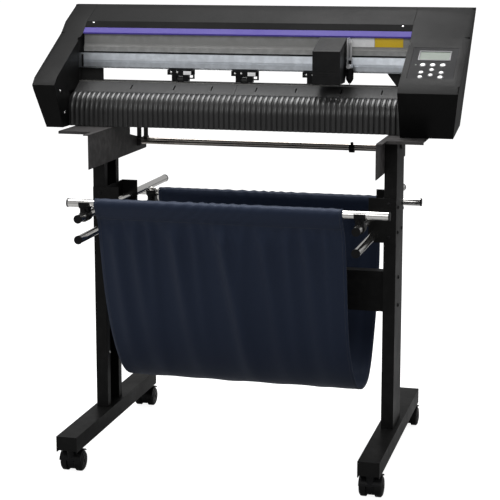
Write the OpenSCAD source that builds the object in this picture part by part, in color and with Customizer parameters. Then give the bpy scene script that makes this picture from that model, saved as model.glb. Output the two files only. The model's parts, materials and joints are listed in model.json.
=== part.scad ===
/* [Stand] */

// Distance between the centre lines of the two columns.
column_spacing = 720; // [700:1:760]

// Height of the flat top of the two arm brackets above the floor.
deck_z = 795; // [760:1:840]

// Length of one base beam, front to back.
beam_len = 610; // [580:1:660]

// Width of one base beam.
beam_w = 51; // [48:0.5:56]

// Underside of the base beams above the floor.
beam_z = 57.5; // [57.5:0.5:60]

// Height of one base beam.
beam_h = 37.7; // [34:0.1:44]

// Depth of one column, front to back.
column_d = 106.6; // [100:0.2:112]

// Width of one column, side to side.
column_w = 29.5; // [28:0.5:34]

/* [Basket] */

// Outer diameter of every bar and rod of the basket.
tube_d = 19; // [18:0.5:20]

// Height of the upper pair of rods.
upper_rod_z = 616; // [614:0.5:622]

// Height of the lower pair of rods.
lower_rod_z = 567.5; // [562:0.5:568]

// Place of the front bar ahead of the columns.
front_bar_y = -245; // [-260:1:-235]

// Place of the rear bar behind the columns.
rear_bar_y = 256; // [245:1:262]

// Lowest point of the hanging cloth above the floor.
cloth_bottom_z = 163; // [150:1:175]

/* [Main unit] */

// Overall width over both end covers.
unit_w = 1035; // [1020:1:1050]

// Top of the plate that the sheet runs over, above the deck.
platen_rise = 105; // [104:0.5:106]

// Number of ribs on each half of the front apron.
rib_count = 32; // [24:1:36]

// Width of the carriage cover.
carriage_w = 67; // [64:1:70]

// Diameter of one key on the control panel.
key_d = 11.6; // [10:0.1:12.4]

/* [Hidden] */

$fn = 48;

gap = 0.3;
run = 0.06;
wall = 3;
sheet = 2.5;

col_x = column_spacing / 2;
col_in = col_x - column_w / 2;
col_out = col_x + column_w / 2;
col_front = -column_d / 2;
column_skin = 2.3;
beam_top = beam_z + beam_h;

arm_front = -165;
arm_rear = 259;
arm_h = 83;
roll_bar_z = 735;
roll_bar_d = 10;
roll_bar_ys = [200, 255];

rod_x = 324;
rod_front = -294;
upper_rod_rear = 364;
cap_rim = 3;
lower_rod_rear = 330;
bar_left = -365;
bar_right = 388;
bar_rise = 29;
front_bar_z = upper_rod_z + bar_rise;
rear_bar_z = lower_rod_z + bar_rise;
tube_r = tube_d / 2;
tube_wall = 1.5;

cloth_left = -301;
cloth_right = 285;
cloth_t = 2;

// The whole object stands on the floor with the middle of its footprint at zero.
stand_y = -(upper_rod_rear + cap_rim - beam_len / 2) / 2;

stem_y = 275;
trail = 17;
wheel_r = 25;

half_w = unit_w / 2;
left_in = -458;
right_in = 377;
unit_rear = 250;
platen_z = deck_z + platen_rise;
rail_front = 105;
rail_bottom = deck_z + 136.5;
rail_top = deck_z + 174;
roller_y = 112;
roller_r = 8;
roller_z = platen_z - roller_r + 0.2;
pinch_r = 7;
pinch_z = platen_z + 0.5 + pinch_r;
pinch_xs = [-199, -34, 146];
carriage_x = 157.5;
tool_x = 233;
tool_y = 88;
tool_travel = 4;
belt_y = 152;
belt_z = deck_z + 162;
pulley_r = 9;
idler_x = -482;
drive_x = 404;

// Side outline of the end covers as pairs of depth and height.
p_foot = [-35, deck_z];
p_nose = [-86.6, deck_z + 108];
p_lip = [-68, deck_z + 126.4];
p_brow = [118, deck_z + 225.5];
p_crown = [149, deck_z + 252.3];
p_roof = [208, deck_z + 281];
p_ridge = [226, deck_z + 290];
p_back = [240, deck_z + 292];
p_edge = [unit_rear, deck_z + 284];
p_heel = [unit_rear, deck_z];
cover_outline = [p_foot, p_nose, p_lip, p_brow, p_crown, p_roof, p_ridge, p_back, p_edge, p_heel];
slope_a = atan2(p_brow[1] - p_lip[1], p_brow[0] - p_lip[0]);
brow_a = atan2(p_crown[1] - p_brow[1], p_crown[0] - p_brow[0]);
draft_a = 7.4;

panel_x0 = 391;
panel_x1 = 498;
panel_s0 = 28;
panel_s1 = 162;
key_cols = [421.5, 444.8, 468.2];
key_rows = [86, 65.3, 53.8, 42.8, 35.3];
lcd_x0 = 410;
lcd_w = 70;
lcd_s0 = 109;
lcd_h = 35.5;
board_n = -8;

black = [0.06, 0.06, 0.07];
dark_grey = [0.16, 0.16, 0.17];
mid_grey = [0.42, 0.42, 0.43];
silver = [0.72, 0.74, 0.76];
white = [0.92, 0.92, 0.92];
purple = [0.42, 0.33, 0.72];
navy = [0.10, 0.12, 0.17];

// Moves everything so that the footprint is centred.
module placed() {
    translate([0, stand_y, 0])
        children();
}

// Extrudes a drawing of depth and height along the width.
module across(x0, x1) {
    translate([x0, 0, 0])
        rotate([90, 0, 90])
            linear_extrude(x1 - x0)
                children();
}

module block(low, high) {
    translate(low)
        cube(high - low);
}

module rod_x_axis(x0, x1, y, z, r) {
    translate([x0, y, z])
        rotate([0, 90, 0])
            cylinder(h = x1 - x0, r = r);
}

module rod_y_axis(y0, y1, x, z, r) {
    translate([x, y1, z])
        rotate([90, 0, 0])
            cylinder(h = y1 - y0, r = r);
}

module rod_z_axis(z0, z1, x, y, r) {
    translate([x, y, z0])
        cylinder(h = z1 - z0, r = r);
}

module both_sides() {
    children();
    mirror([1, 0, 0])
        children();
}

// Frame of the sloping face: second value runs up the slope, third stands out of it.
module on_slope(x, s, n) {
    translate([0, p_lip[0], p_lip[1]])
        rotate([slope_a, 0, 0])
            translate([x, s, n])
                children();
}

// ---- stand ----

module base_beam() {
    half = beam_len / 2;
    skin = 2.5;
    cap_cut = 4;
    plate_z = beam_z + 6;
    difference() {
        block([col_x - beam_w / 2, -half, beam_z], [col_x + beam_w / 2, half, beam_top]);
        block([col_x - beam_w / 2 + skin, -half + skin, beam_z - 1],
            [col_x + beam_w / 2 - skin, half - skin, plate_z]);
        block([col_x - beam_w / 2 + skin, -half + 60, beam_z - 1],
            [col_x + beam_w / 2 - skin, half - 60, beam_top - skin]);
        for (side = [-1, 1]) {
            block([col_x - beam_w / 2 + skin, side * (half - 31) - 27, plate_z + 5],
                [col_x + beam_w / 2 - skin, side * (half - 31) + 27, beam_top - skin]);
            block([col_x - beam_w / 2 + skin, side * half - 3, beam_z - 1],
                [col_x + beam_w / 2 - skin, side * half + 3, beam_z + cap_cut]);
            rod_z_axis(plate_z - 1, plate_z + 8, col_x, side * stem_y, 4 + run);
        }
    }
}

module base_beams() {
    color(black)
        both_sides()
            base_beam();
}

module column() {
    skin = column_skin;
    lip = 22;
    top = deck_z - sheet - 0.2;
    difference() {
        block([col_in, col_front, beam_top], [col_out, -col_front, top]);
        block([col_in + skin, col_front + skin, beam_top - 1],
            [col_out - skin, -col_front - skin, top + 1]);
        block([col_in - 1, col_front + lip, beam_top - 1],
            [col_in + skin + 1, -col_front - lip, top + 1]);
    }
}

module columns() {
    color(black)
        both_sides()
            column();
}

module cross_panel() {
    low = 375;
    high = 473;
    depth = 30;
    front = -24;
    reach = col_out - column_skin;
    color(black)
        difference() {
            block([-reach, front, low], [reach, front + depth, high]);
            block([-reach + sheet, front + sheet, low + sheet],
                [reach - sheet, front + depth + 1, high - sheet]);
        }
}

module arm() {
    bottom = deck_z - arm_h;
    flange_x = 442.6;
    flange_front = arm_front + 60;
    inner = col_in - sheet;
    block_w = 9;
    bearing = 8;
    post = 1.6;
    window_front = 137;
    difference() {
        union() {
            block([inner, arm_front, bottom], [col_in, arm_rear + 9, deck_z]);
            block([inner, flange_front, deck_z - sheet], [flange_x, arm_rear + 9, deck_z]);
            block([inner, arm_front, deck_z - sheet], [col_in + 12, flange_front + 1, deck_z]);
            block([col_in, flange_front, deck_z - 7], [flange_x, flange_front + sheet, deck_z]);
            for (y = roll_bar_ys) {
                block([inner - block_w, y - bearing, roll_bar_z - 9], [inner, y + bearing, roll_bar_z + 9]);
                block([inner - block_w, y - post, roll_bar_z], [inner + sheet, y + post, deck_z]);
            }
            across(col_out + 2, col_out + 4.5)
                polygon([[-30, deck_z - sheet], [40, deck_z - sheet], [12, deck_z - 30], [-2, deck_z - 30]]);
            block([col_out, -2, deck_z - 30], [col_out + 4.5, 12, deck_z - sheet]);
        }
        difference() {
            across(inner - 1, col_in + 1)
                polygon([[window_front, deck_z - sheet], [window_front, roll_bar_z + 27],
                    [roll_bar_ys[0] + 33, roll_bar_z + 8], [arm_rear + 10, roll_bar_z + 8],
                    [arm_rear + 10, deck_z - sheet]]);
            for (y = roll_bar_ys)
                block([inner - 2, y - bearing, bottom], [col_in + 2, y + bearing, roll_bar_z + 9]);
            for (y = roll_bar_ys)
                block([inner - 2, y - post, bottom], [inner + sheet + 1, y + post, deck_z]);
        }
        for (y = roll_bar_ys)
            rod_x_axis(inner - block_w - 1, inner + 1, y, roll_bar_z, roll_bar_d / 2 + run);
    }
}

module arm_right() {
    color(dark_grey)
        arm();
}

module arm_left() {
    color(dark_grey)
        mirror([1, 0, 0])
            arm();
}

module rod_bracket() {
    low = 548;
    high = 654;
    tip = 305;
    rear = 78;
    front_y = col_front - sheet;
    difference() {
        union() {
            block([col_in - sheet, front_y, low], [col_in, rear, high]);
            block([tip + 4, front_y, low], [col_out, col_front, high]);
            block([tip, rear - sheet, low], [col_in, rear, high]);
        }
        for (z = [upper_rod_z, lower_rod_z])
            rod_y_axis(front_y - 2, rear + 2, rod_x, z, tube_r + 0.04);
    }
}

module rod_brackets() {
    color(black)
        both_sides()
            rod_bracket();
}

module tube_y(y0, y1, x, z) {
    difference() {
        rod_y_axis(y0, y1, x, z, tube_r);
        rod_y_axis(y0 - 1, y1 + 1, x, z, tube_r - tube_wall);
    }
}

module tube_x(x0, x1, y, z) {
    difference() {
        rod_x_axis(x0, x1, y, z, tube_r);
        rod_x_axis(x0 - 1, x1 + 1, y, z, tube_r - tube_wall);
    }
}

module basket_tubes() {
    color(silver) {
        for (side = [-1, 1]) {
            tube_y(rod_front, upper_rod_rear, side * rod_x, upper_rod_z);
            tube_y(rod_front, lower_rod_rear, side * rod_x, lower_rod_z);
        }
        tube_x(bar_left, bar_right, front_bar_y, front_bar_z);
        tube_x(bar_left, bar_right, rear_bar_y, rear_bar_z);
    }
}

// A plug with a rim closes one tube end. It points along +Z before it is placed.
module cap() {
    cylinder(h = cap_rim, r = tube_r + 0.6);
    translate([0, 0, -12])
        cylinder(h = 12.5, r = tube_r - tube_wall - 0.03);
}

// One clamp: a saddle holds the bar above, and a ring holds the rod below, at right angles.
module clamp(x, y, bar_z) {
    half = 13;
    grip = tube_r + 3.2;
    rod_z = bar_z - bar_rise;
    difference() {
        union() {
            intersection() {
                rod_x_axis(x - half, x + half, y, bar_z, grip);
                block([x - half, y - grip, bar_z - grip], [x + half, y + grip, bar_z + 3.5]);
            }
            rod_y_axis(y - half, y + half, x, rod_z, grip);
            block([x - half + 3, y - half + 3, rod_z], [x + half - 3, y + half - 3, bar_z]);
            rod_y_axis(y - half - 2, y, x, (rod_z + bar_z) / 2 - 1, 4);
        }
        rod_x_axis(x - half - 1, x + half + 1, y, bar_z, tube_r + 0.04);
        rod_y_axis(y - half - 1, y + half + 1, x, rod_z, tube_r + 0.04);
    }
}

module bar_fittings() {
    color(black) {
        for (side = [-1, 1]) {
            clamp(side * rod_x, front_bar_y, front_bar_z);
            clamp(side * rod_x, rear_bar_y, rear_bar_z);
            for (z = [upper_rod_z, lower_rod_z])
                translate([side * rod_x, rod_front, z])
                    rotate([90, 0, 0])
                        cap();
            translate([side * rod_x, upper_rod_rear, upper_rod_z])
                rotate([-90, 0, 0])
                    cap();
            translate([side * rod_x, lower_rod_rear, lower_rod_z])
                rotate([-90, 0, 0])
                    cap();
        }
        for (end = [[front_bar_y, front_bar_z], [rear_bar_y, rear_bar_z]]) {
            translate([bar_right, end[0], end[1]])
                rotate([0, 90, 0])
                    cap();
            translate([bar_left, end[0], end[1]])
                rotate([0, -90, 0])
                    cap();
        }
    }
}

function bezier(p, t) = p[0] * pow(1 - t, 3) + 3 * p[1] * t * pow(1 - t, 2)
    + 3 * p[2] * pow(t, 2) * (1 - t) + p[3] * pow(t, 3);

// Side line of the hanging cloth: down from the front bar, along the bottom and up to the rear bar.
hang_front = [[front_bar_y, front_bar_z - tube_r - 2], [front_bar_y + 104, cloth_bottom_z + 110],
    [-105, cloth_bottom_z], [82, cloth_bottom_z]];
hang_rear = [[82, cloth_bottom_z], [205, cloth_bottom_z], [rear_bar_y - 8, 330],
    [rear_bar_y, rear_bar_z - tube_r - 2]];
hang_steps = 14;
hang_line = concat([for (i = [0:hang_steps]) bezier(hang_front, i / hang_steps)],
    [for (i = [1:hang_steps]) bezier(hang_rear, i / hang_steps)]);

function unit(v) = v / norm(v);
function side_step(line, i) = let (
        a = line[max(i - 1, 0)],
        b = line[min(i + 1, len(line) - 1)],
        d = unit(b - a)) [-d[1], d[0]];
function shifted(line, by) = [for (i = [0:len(line) - 1]) line[i] + by * side_step(line, i)];
function reversed(line) = [for (i = [len(line) - 1:-1:0]) line[i]];

module basket_cloth() {
    inner = tube_r + 0.3;
    color(navy)
        across(cloth_left, cloth_right)
            difference() {
                union() {
                    polygon(concat(shifted(hang_line, cloth_t / 2),
                        reversed(shifted(hang_line, -cloth_t / 2))));
                    for (bar = [[front_bar_y, front_bar_z], [rear_bar_y, rear_bar_z]])
                        translate(bar)
                            circle(r = inner + cloth_t);
                }
                for (bar = [[front_bar_y, front_bar_z], [rear_bar_y, rear_bar_z]])
                    translate(bar)
                        circle(r = inner);
            }
}

// A round head standing on a face. It points along +Z before it is placed.
module screw_head(r, h) {
    cylinder(h = h, r = r);
}

module screws() {
    color(silver) {
        for (side = [-1, 1]) {
            for (z = [562, 640])
                translate([side * (col_x - 2), col_front - sheet, z])
                    rotate([90, 0, 0])
                        screw_head(4.5, 2.6);
            for (z = [390, 458])
                translate([side * col_out, -9, z])
                    rotate([0, side * 90, 0])
                        screw_head(5, 3);
            for (y = [-35, 35])
                translate([side * (col_in - sheet), y, deck_z - arm_h + 40])
                    rotate([0, -side * 90, 0])
                        screw_head(5, 3);
            for (end = [-1, 1])
                difference() {
                    rod_z_axis(54.2, beam_z + 6, side * col_x, end * stem_y, 12);
                    rod_z_axis(54, beam_z + 7, side * col_x, end * stem_y, 4 + run);
                }
        }
        for (x = [-438.5, 353])
            translate([x, on_brow(0.84)[0], on_brow(0.84)[1] + 0.05])
                rotate([brow_a, 0, 0])
                    screw_head(2.6, 1.6);
        for (spot = [[-48, deck_z + 91], [-21, deck_z + 35]])
            translate([left_in, spot[0], spot[1]])
                rotate([0, 90, 0])
                    screw_head(3, 1.6);
        translate([-col_in, -34, 233])
            rotate([0, 90, 0])
                screw_head(3, 1.6);
    }
}

// ---- roll support ----

module roll_bar(y) {
    reach = col_in - 3;
    color(silver)
        rod_x_axis(-reach, reach, y, roll_bar_z, roll_bar_d / 2);
}

module roll_bar_front() {
    roll_bar(roll_bar_ys[0]);
}

module roll_bar_rear() {
    roll_bar(roll_bar_ys[1]);
}

module roll_stop() {
    x0 = 214;
    x1 = 227;
    color(black)
        difference() {
            union() {
                rod_x_axis(x0, x1, roll_bar_ys[0], roll_bar_z, 10);
                rod_z_axis(roll_bar_z, roll_bar_z + 16, (x0 + x1) / 2, roll_bar_ys[0], 3.5);
            }
            rod_x_axis(x0 - 1, x1 + 1, roll_bar_ys[0], roll_bar_z, roll_bar_d / 2 + run);
        }
}

// ---- casters ----

module caster(x, y) {
    core = 9.6;
    hood = 26.5;
    translate([x, y, 0]) {
        difference() {
            union() {
                rod_x_axis(-core, core, trail, wheel_r, 21);
                intersection() {
                    difference() {
                        rod_x_axis(-hood, hood, trail, wheel_r, wheel_r + 3.4);
                        rod_x_axis(-hood - 1, hood + 1, trail, wheel_r, wheel_r + 0.8);
                    }
                    block([-hood, -14, wheel_r + 6], [hood, trail + 16, 60]);
                }
                block([-core, trail - 20, wheel_r], [core, trail + 8, wheel_r + 27]);
                rod_z_axis(28, 53.9, 0, 0, 10);
                rod_z_axis(50, beam_z + 16, 0, 0, 4);
            }
            rod_x_axis(-hood - 1, hood + 1, trail, wheel_r, 3 + run);
        }
    }
}

module wheel_pair(x, y) {
    inner = 10;
    outer = 27;
    translate([x, y, 0]) {
        for (side = [-1, 1])
            mirror([side < 0 ? 1 : 0, 0, 0])
                translate([0, trail, wheel_r])
                    rotate([0, 90, 0]) {
                        translate([0, 0, inner])
                            cylinder(h = outer - inner - 4, r = wheel_r);
                        translate([0, 0, outer - 4])
                            cylinder(h = 4, r1 = wheel_r, r2 = wheel_r - 5);
                    }
        rod_x_axis(-inner - 1, inner + 1, trail, wheel_r, 3);
    }
}

module caster_front_left() {
    color(black)
        caster(-col_x, -stem_y);
}

module caster_front_right() {
    color(black)
        caster(col_x, -stem_y);
}

module caster_rear_left() {
    color(black)
        caster(-col_x, stem_y);
}

module caster_rear_right() {
    color(black)
        caster(col_x, stem_y);
}

module wheels_front_left() {
    color(dark_grey)
        wheel_pair(-col_x, -stem_y);
}

module wheels_front_right() {
    color(dark_grey)
        wheel_pair(col_x, -stem_y);
}

module wheels_rear_left() {
    color(dark_grey)
        wheel_pair(-col_x, stem_y);
}

module wheels_rear_right() {
    color(dark_grey)
        wheel_pair(col_x, stem_y);
}

// ---- main unit body ----

side_left = -470;
side_right = 386;

module side_plate(x) {
    difference() {
        across(x, x + sheet)
            polygon([[20, deck_z + sheet], [243, deck_z + sheet], [243, deck_z + 262], [214, deck_z + 262],
                [112, deck_z + 214], [20, deck_z + 120]]);
        rod_x_axis(x - 1, x + sheet + 1, roller_y, roller_z, 4 + run);
        block([x - 1, belt_y - 14, belt_z - 8], [x + sheet + 1, belt_y + 14, belt_z + 8]);
    }
}

module base_tray() {
    reach = half_w - 38;
    lip = 50;
    color(dark_grey) {
        block([-reach, 14, deck_z], [reach, 243, deck_z + sheet]);
        block([side_left, 14, deck_z + sheet], [side_right + sheet, 14 + sheet, deck_z + 34]);
        block([side_left, 243 - sheet, deck_z + sheet], [side_right + sheet, 243, deck_z + lip]);
        side_plate(side_left);
        side_plate(side_right);
        for (z = [belt_z - 9, belt_z + 7])
            block([idler_x - 14, belt_y - 12, z], [side_left, belt_y + 12, z + 2]);
        rod_z_axis(belt_z - 8, belt_z + 8, idler_x, belt_y, 2.5);
        block([side_left + sheet, 131, platen_z], [-410, 131 + sheet, rail_bottom]);
        translate([0, 131 + sheet, 0])
            rotate([90, 0, 0])
                linear_extrude(sheet)
                    polygon([[317, rail_bottom], [341, platen_z], [side_right, platen_z],
                        [side_right, rail_bottom]]);
    }
}

module top_cover() {
    drop = deck_z + 140;
    color(dark_grey)
        across(left_in + gap, right_in - gap)
            difference() {
                polygon([p_crown, p_roof, p_ridge, p_back, p_edge, [unit_rear, drop], [p_crown[0], drop]]);
                offset(delta = -wall)
                    polygon([p_crown, p_roof, p_ridge, p_back, p_edge, [unit_rear, drop],
                        [p_crown[0] - 20, drop - 20]]);
                translate([p_crown[0] - 1, drop - 1])
                    square([60, p_crown[1] - drop - 2.2]);
            }
}

// A point of the sloping brow at a fraction of its height.
function on_brow(share) = p_brow + share * (p_crown - p_brow);

// One strip of the sloping brow between two fractions of its height, with upright ends.
module brow_strip(from, to) {
    drop = [0, wall / cos(brow_a)];
    across(left_in + gap, right_in - gap)
        polygon([on_brow(from), on_brow(to), on_brow(to) - drop, on_brow(from) - drop]);
}

module fascia_band() {
    color(black)
        brow_strip(0.44, 0.995);
}

module accent_strip() {
    color(purple)
        brow_strip(-0.02, 0.43);
}

// Solid form of one end cover from a side outline, taken in by an even amount for its hollow.
module cover_form(inner_x, take, outline) {
    difference() {
        across(inner_x + take, half_w - take)
            offset(delta = -take)
                polygon(outline);
        translate([half_w - take, p_lip[0], p_lip[1]])
            rotate([slope_a, 0, 0])
                rotate([0, draft_a, 0])
                    block([0, -300, -400], [80, 500, 400]);
    }
}

// Flat bevel along the outer edge between two corners of the side outline.
module edge_bevel(a, b, wide, deep, over) {
    along = norm(b - a);
    lean = atan2(wide, deep);
    reach = 2 * wide;
    translate([half_w, a[0], a[1]])
        rotate([atan2(b[1] - a[1], b[0] - a[0]), 0, 0])
            rotate([0, -lean, 0])
                block([-wide * cos(lean), -over[0], -reach], [reach, along + over[1], reach]);
}

// Hollow of one end cover. Its front and rear faces run on below the open bottom.
module cover_hollow(inner_x) {
    drop = 40;
    low_foot = p_foot + (p_foot - p_nose) * drop / (p_nose[1] - p_foot[1]);
    cover_form(inner_x, wall, [low_foot, p_nose, p_lip, p_brow, p_crown, p_roof, p_ridge, p_back, p_edge,
        [unit_rear, deck_z - drop]]);
}

module end_cover(inner_x) {
    difference() {
        cover_form(inner_x, 0, cover_outline);
        cover_hollow(inner_x);
        edge_bevel(p_lip, p_brow, 11, 2.5, [2, 0]);
        edge_bevel(p_nose, p_lip, 3, 3, [1, 1]);
        edge_bevel(p_foot, p_nose, 3, 3, [10, 1]);
        edge_bevel(p_brow, p_crown, 11, 2.5, [0, 2]);
        edge_bevel(p_crown, p_roof, 11, 2.5, [2, 20]);
        block([inner_x - 1, 84, deck_z + 85], [inner_x + wall + 1, 205, deck_z + 214]);
        block([inner_x - 1, 10, deck_z - 1], [inner_x + wall + 1, 246, deck_z + 85]);
    }
}

module end_cover_left() {
    color(dark_grey)
        mirror([1, 0, 0])
            end_cover(-left_in);
}

module key_hole(x, s, d) {
    on_slope(x, s, -6)
        cylinder(h = 10, r = d / 2 + 0.35);
}

// Positions of the nine keys on the sloping face, with the diameter of each.
keys = [
    [key_cols[0], key_rows[0], key_d],
    [key_cols[1], key_rows[0], key_d],
    [key_cols[2], key_rows[0], key_d],
    [key_cols[1], key_rows[1], key_d - 2],
    [key_cols[0], key_rows[2], key_d - 1.6],
    [key_cols[2], key_rows[2], key_d - 1.6],
    [key_cols[1], key_rows[3], key_d - 2],
    [key_cols[0], key_rows[4] - 1, key_d - 2],
    [key_cols[2], key_rows[4] - 1, key_d - 0.6]];

module end_cover_right() {
    color(dark_grey)
        difference() {
            end_cover(right_in);
            on_slope(panel_x0 - gap, panel_s0 - gap, -1.6)
                cube([panel_x1 - panel_x0 + 2 * gap, panel_s1 - panel_s0 + 2 * gap, 5]);
            on_slope(lcd_x0 - gap, lcd_s0 - gap, -6)
                cube([lcd_w + 2 * gap, lcd_h + 2 * gap, 10]);
            for (k = keys)
                key_hole(k[0], k[1], k[2]);
            on_slope(405, 86, -6)
                cylinder(h = 8, r = 2);
            block([405, unit_rear - 8, deck_z + 30], [437, unit_rear + 1, deck_z + 54]);
        }
}

module panel_plate() {
    color(mid_grey)
        difference() {
            on_slope(panel_x0, panel_s0, -1.6)
                cube([panel_x1 - panel_x0, panel_s1 - panel_s0, 1.2]);
            on_slope(lcd_x0 - gap, lcd_s0 - gap, -6)
                cube([lcd_w + 2 * gap, lcd_h + 2 * gap, 10]);
            for (k = keys)
                key_hole(k[0], k[1], k[2]);
            on_slope(405, 86, -3)
                cylinder(h = 5, r = 2);
        }
}

module display() {
    color([0.55, 0.62, 0.55]) {
        on_slope(lcd_x0, lcd_s0, board_n)
            cube([lcd_w, lcd_h, -board_n - 0.8]);
        on_slope(405, 86, board_n)
            cylinder(h = -board_n + 0.3, r = 1.9);
    }
}

module key(i) {
    k = keys[i];
    color(white) {
        on_slope(k[0], k[1], -4.4)
            cylinder(h = 5.4, r = k[2] / 2);
        on_slope(k[0], k[1], 0.9)
            cylinder(h = 0.7, r1 = k[2] / 2, r2 = k[2] / 2 - 0.7);
        on_slope(k[0], k[1], -4.5)
            cylinder(h = 1.2, r = k[2] / 2 + 0.9);
    }
}

module key_f1() {
    key(0);
}

module key_f2() {
    key(1);
}

module key_f3() {
    key(2);
}

module key_up() {
    key(3);
}

module key_left() {
    key(4);
}

module key_right() {
    key(5);
}

module key_down() {
    key(6);
}

module key_end() {
    key(7);
}

module key_enter() {
    key(8);
}

module control_board() {
    color([0.05, 0.30, 0.15]) {
        on_slope(394, 26, board_n - 1.6)
            cube([100, 136, 1.6]);
        block([-400, 60, deck_z + 8], [-180, 200, deck_z + 9.6]);
        for (x = [-390, -190])
            for (y = [70, 190])
                rod_z_axis(deck_z + sheet, deck_z + 8, x, y, 3);
        block([-350, 90, deck_z + 9.6], [-300, 140, deck_z + 26]);
        block([60, 60, deck_z + sheet], [200, 160, deck_z + 38]);
    }
}

module power_inlet() {
    low = [405.3, unit_rear - 18, deck_z + 30.3];
    high = [436.7, unit_rear + 1.5, deck_z + 53.7];
    color(black)
        difference() {
            union() {
                block(low, [high[0], unit_rear - 0.5, high[2]]);
                block([low[0] - 2, unit_rear, low[2] - 2], [high[0] + 2, high[1], high[2] + 2]);
                block(low + [3, 15, 3], [high[0] - 3, unit_rear + 1, high[2] - 3]);
            }
            block(low + [4, 5, 4], [high[0] - 4, unit_rear + 4, high[2] - 4]);
        }
}

module inner_cover() {
    foot = rail_top + 3.6;
    step = deck_z + 195;
    color(mid_grey)
        across(left_in + gap, right_in - gap)
            polygon([[120, foot], [120, step - 5], [126, step + 3], [126, p_brow[1] - 3],
                [128.4, p_brow[1] - 3], [128.4, step + 2], [122.4, step - 6], [122.4, foot]]);
}

module guide_rail() {
    back = 134;
    color(silver)
        across(side_left + sheet, side_right)
            difference() {
                polygon([[rail_front, rail_bottom + 16], [rail_front + 1.4, rail_bottom + 4],
                    [rail_front + 5, rail_bottom], [back, rail_bottom], [back, rail_top],
                    [rail_front + 1.8, rail_top], [rail_front, rail_bottom + 20]]);
                translate([rail_front - 1, rail_bottom + 16])
                    square([3.4, 4.5]);
                translate([rail_front + 9, rail_bottom + 4])
                    square([back - rail_front - 13, rail_top - rail_bottom - 8]);
            }
}

strip_back = [84, platen_z - 0.8];
strip_front = [45, platen_z - 22];
apron_front = 5;
apron_r = 44;
apron_cz = platen_z - 66;
arc_steps = 9;

// Outer line of the apron: the slotted strip, the round front and the drop to its lower edge.
function apron_line(out) = concat(
    [strip_back, strip_front],
    [for (i = [1:arc_steps])
        let (a = 95 + 85 * i / arc_steps)
        [apron_front + apron_r + (apron_r + out) * cos(a), apron_cz + (apron_r + out) * sin(a)]],
    [[apron_front - out, deck_z + 1]]);

module platen() {
    back = 145;
    color(mid_grey)
        across(side_left + sheet, side_right)
            difference() {
                polygon([[85.3, platen_z], [back, platen_z], [240, deck_z + 64], [240, deck_z + 61],
                    [back - 1, platen_z - 3], [back - 14, platen_z - 3], [back - 14, platen_z - 34],
                    [back - 17, platen_z - 34], [back - 17, platen_z - 3], [96, platen_z - 3],
                    [96, platen_z - 34], [93, platen_z - 34], [93, platen_z - 3], [85.3, platen_z - 3]]);
                translate([roller_y - 9.5, platen_z - 4])
                    square([19, 6]);
            }
}

module apron_shell(x0, x1) {
    skin = 2.4;
    line = apron_line(0);
    across(x0, x1)
        polygon(concat(line, reversed(shifted(line, skin))));
}

module apron_rib(x0, x1) {
    bulge = 2;
    rib_line = [for (p = apron_line(bulge)) if (p[0] < strip_front[0] - 0.5) p];
    base_line = [for (p = apron_line(-1)) if (p[0] < strip_front[0] - 0.5) p];
    across(x0, x1)
        polygon(concat(rib_line, reversed(base_line)));
}

module apron(x0, x1, slots) {
    pitch = (x1 - x0) / rib_count;
    color(dark_grey)
        difference() {
            union() {
                apron_shell(x0, x1);
                for (i = [0:rib_count - 1])
                    apron_rib(x0 + pitch * (i + 0.22), x0 + pitch * (i + 0.78));
            }
            for (x = slots)
                block([x - 1.5, 58, platen_z - 30], [x + 1.5, 74, platen_z + 1]);
        }
}

module apron_left() {
    apron(left_in + 1, -44.6, [-313, -202, -106]);
}

module apron_right() {
    apron(-44, right_in - 1, [7, 106, 218, 317]);
}

module feed_roller() {
    color(silver) {
        rod_x_axis(left_in - 4, right_in + 3, roller_y, roller_z, roller_r);
        rod_x_axis(side_left - 4, 424.6, roller_y, roller_z, 4);
    }
}

module motors() {
    half = 19;
    plate_x = 421;
    shaft_end = 424.6;
    color(black)
        difference() {
            union() {
                block([plate_x + 2.5, roller_y - half, roller_z - half],
                    [plate_x + 44, roller_y + half, roller_z + half]);
                block([plate_x, roller_y - half - 5, deck_z + sheet],
                    [plate_x + 2.5, roller_y + half + 5, roller_z + half + 3]);
            }
            rod_x_axis(plate_x - 1, shaft_end + 0.4, roller_y, roller_z, 4 + run);
        }
    color(black) {
        block([drive_x - 13, belt_y - half, belt_z - 56], [drive_x + 25, belt_y + half, belt_z - 12]);
        block([side_right + sheet, belt_y + half, belt_z - 60],
            [drive_x + 20, belt_y + half + sheet, belt_z - 14]);
        rod_z_axis(belt_z - 14, belt_z + 7, drive_x, belt_y, 2.5);
    }
}

module pulley(x) {
    color(silver)
        translate([x, belt_y, belt_z])
            difference() {
                union() {
                    translate([0, 0, -4])
                        cylinder(h = 8, r = pulley_r);
                    for (z = [-5.2, 4])
                        translate([0, 0, z])
                            cylinder(h = 1.2, r = pulley_r + 1.6);
                }
                translate([0, 0, -6])
                    cylinder(h = 12, r = 2.5 + run);
            }
}

module drive_pulley() {
    pulley(drive_x);
}

module idler_pulley() {
    pulley(idler_x);
}

module drive_belt() {
    inner = pulley_r + gap;
    outer = inner + 1.4;
    color(black)
        difference() {
            union() {
                for (x = [idler_x, drive_x])
                    rod_z_axis(belt_z - 3.4, belt_z + 3.4, x, belt_y, outer);
                block([idler_x, belt_y - outer, belt_z - 3.4], [drive_x, belt_y + outer, belt_z + 3.4]);
            }
            for (x = [idler_x, drive_x])
                rod_z_axis(belt_z - 5, belt_z + 5, x, belt_y, inner);
            block([idler_x, belt_y - inner, belt_z - 5], [drive_x, belt_y + inner, belt_z + 5]);
        }
}

// ---- carriage ----

cover_top = [[12, deck_z + 194], [100, deck_z + 222.5]];

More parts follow.
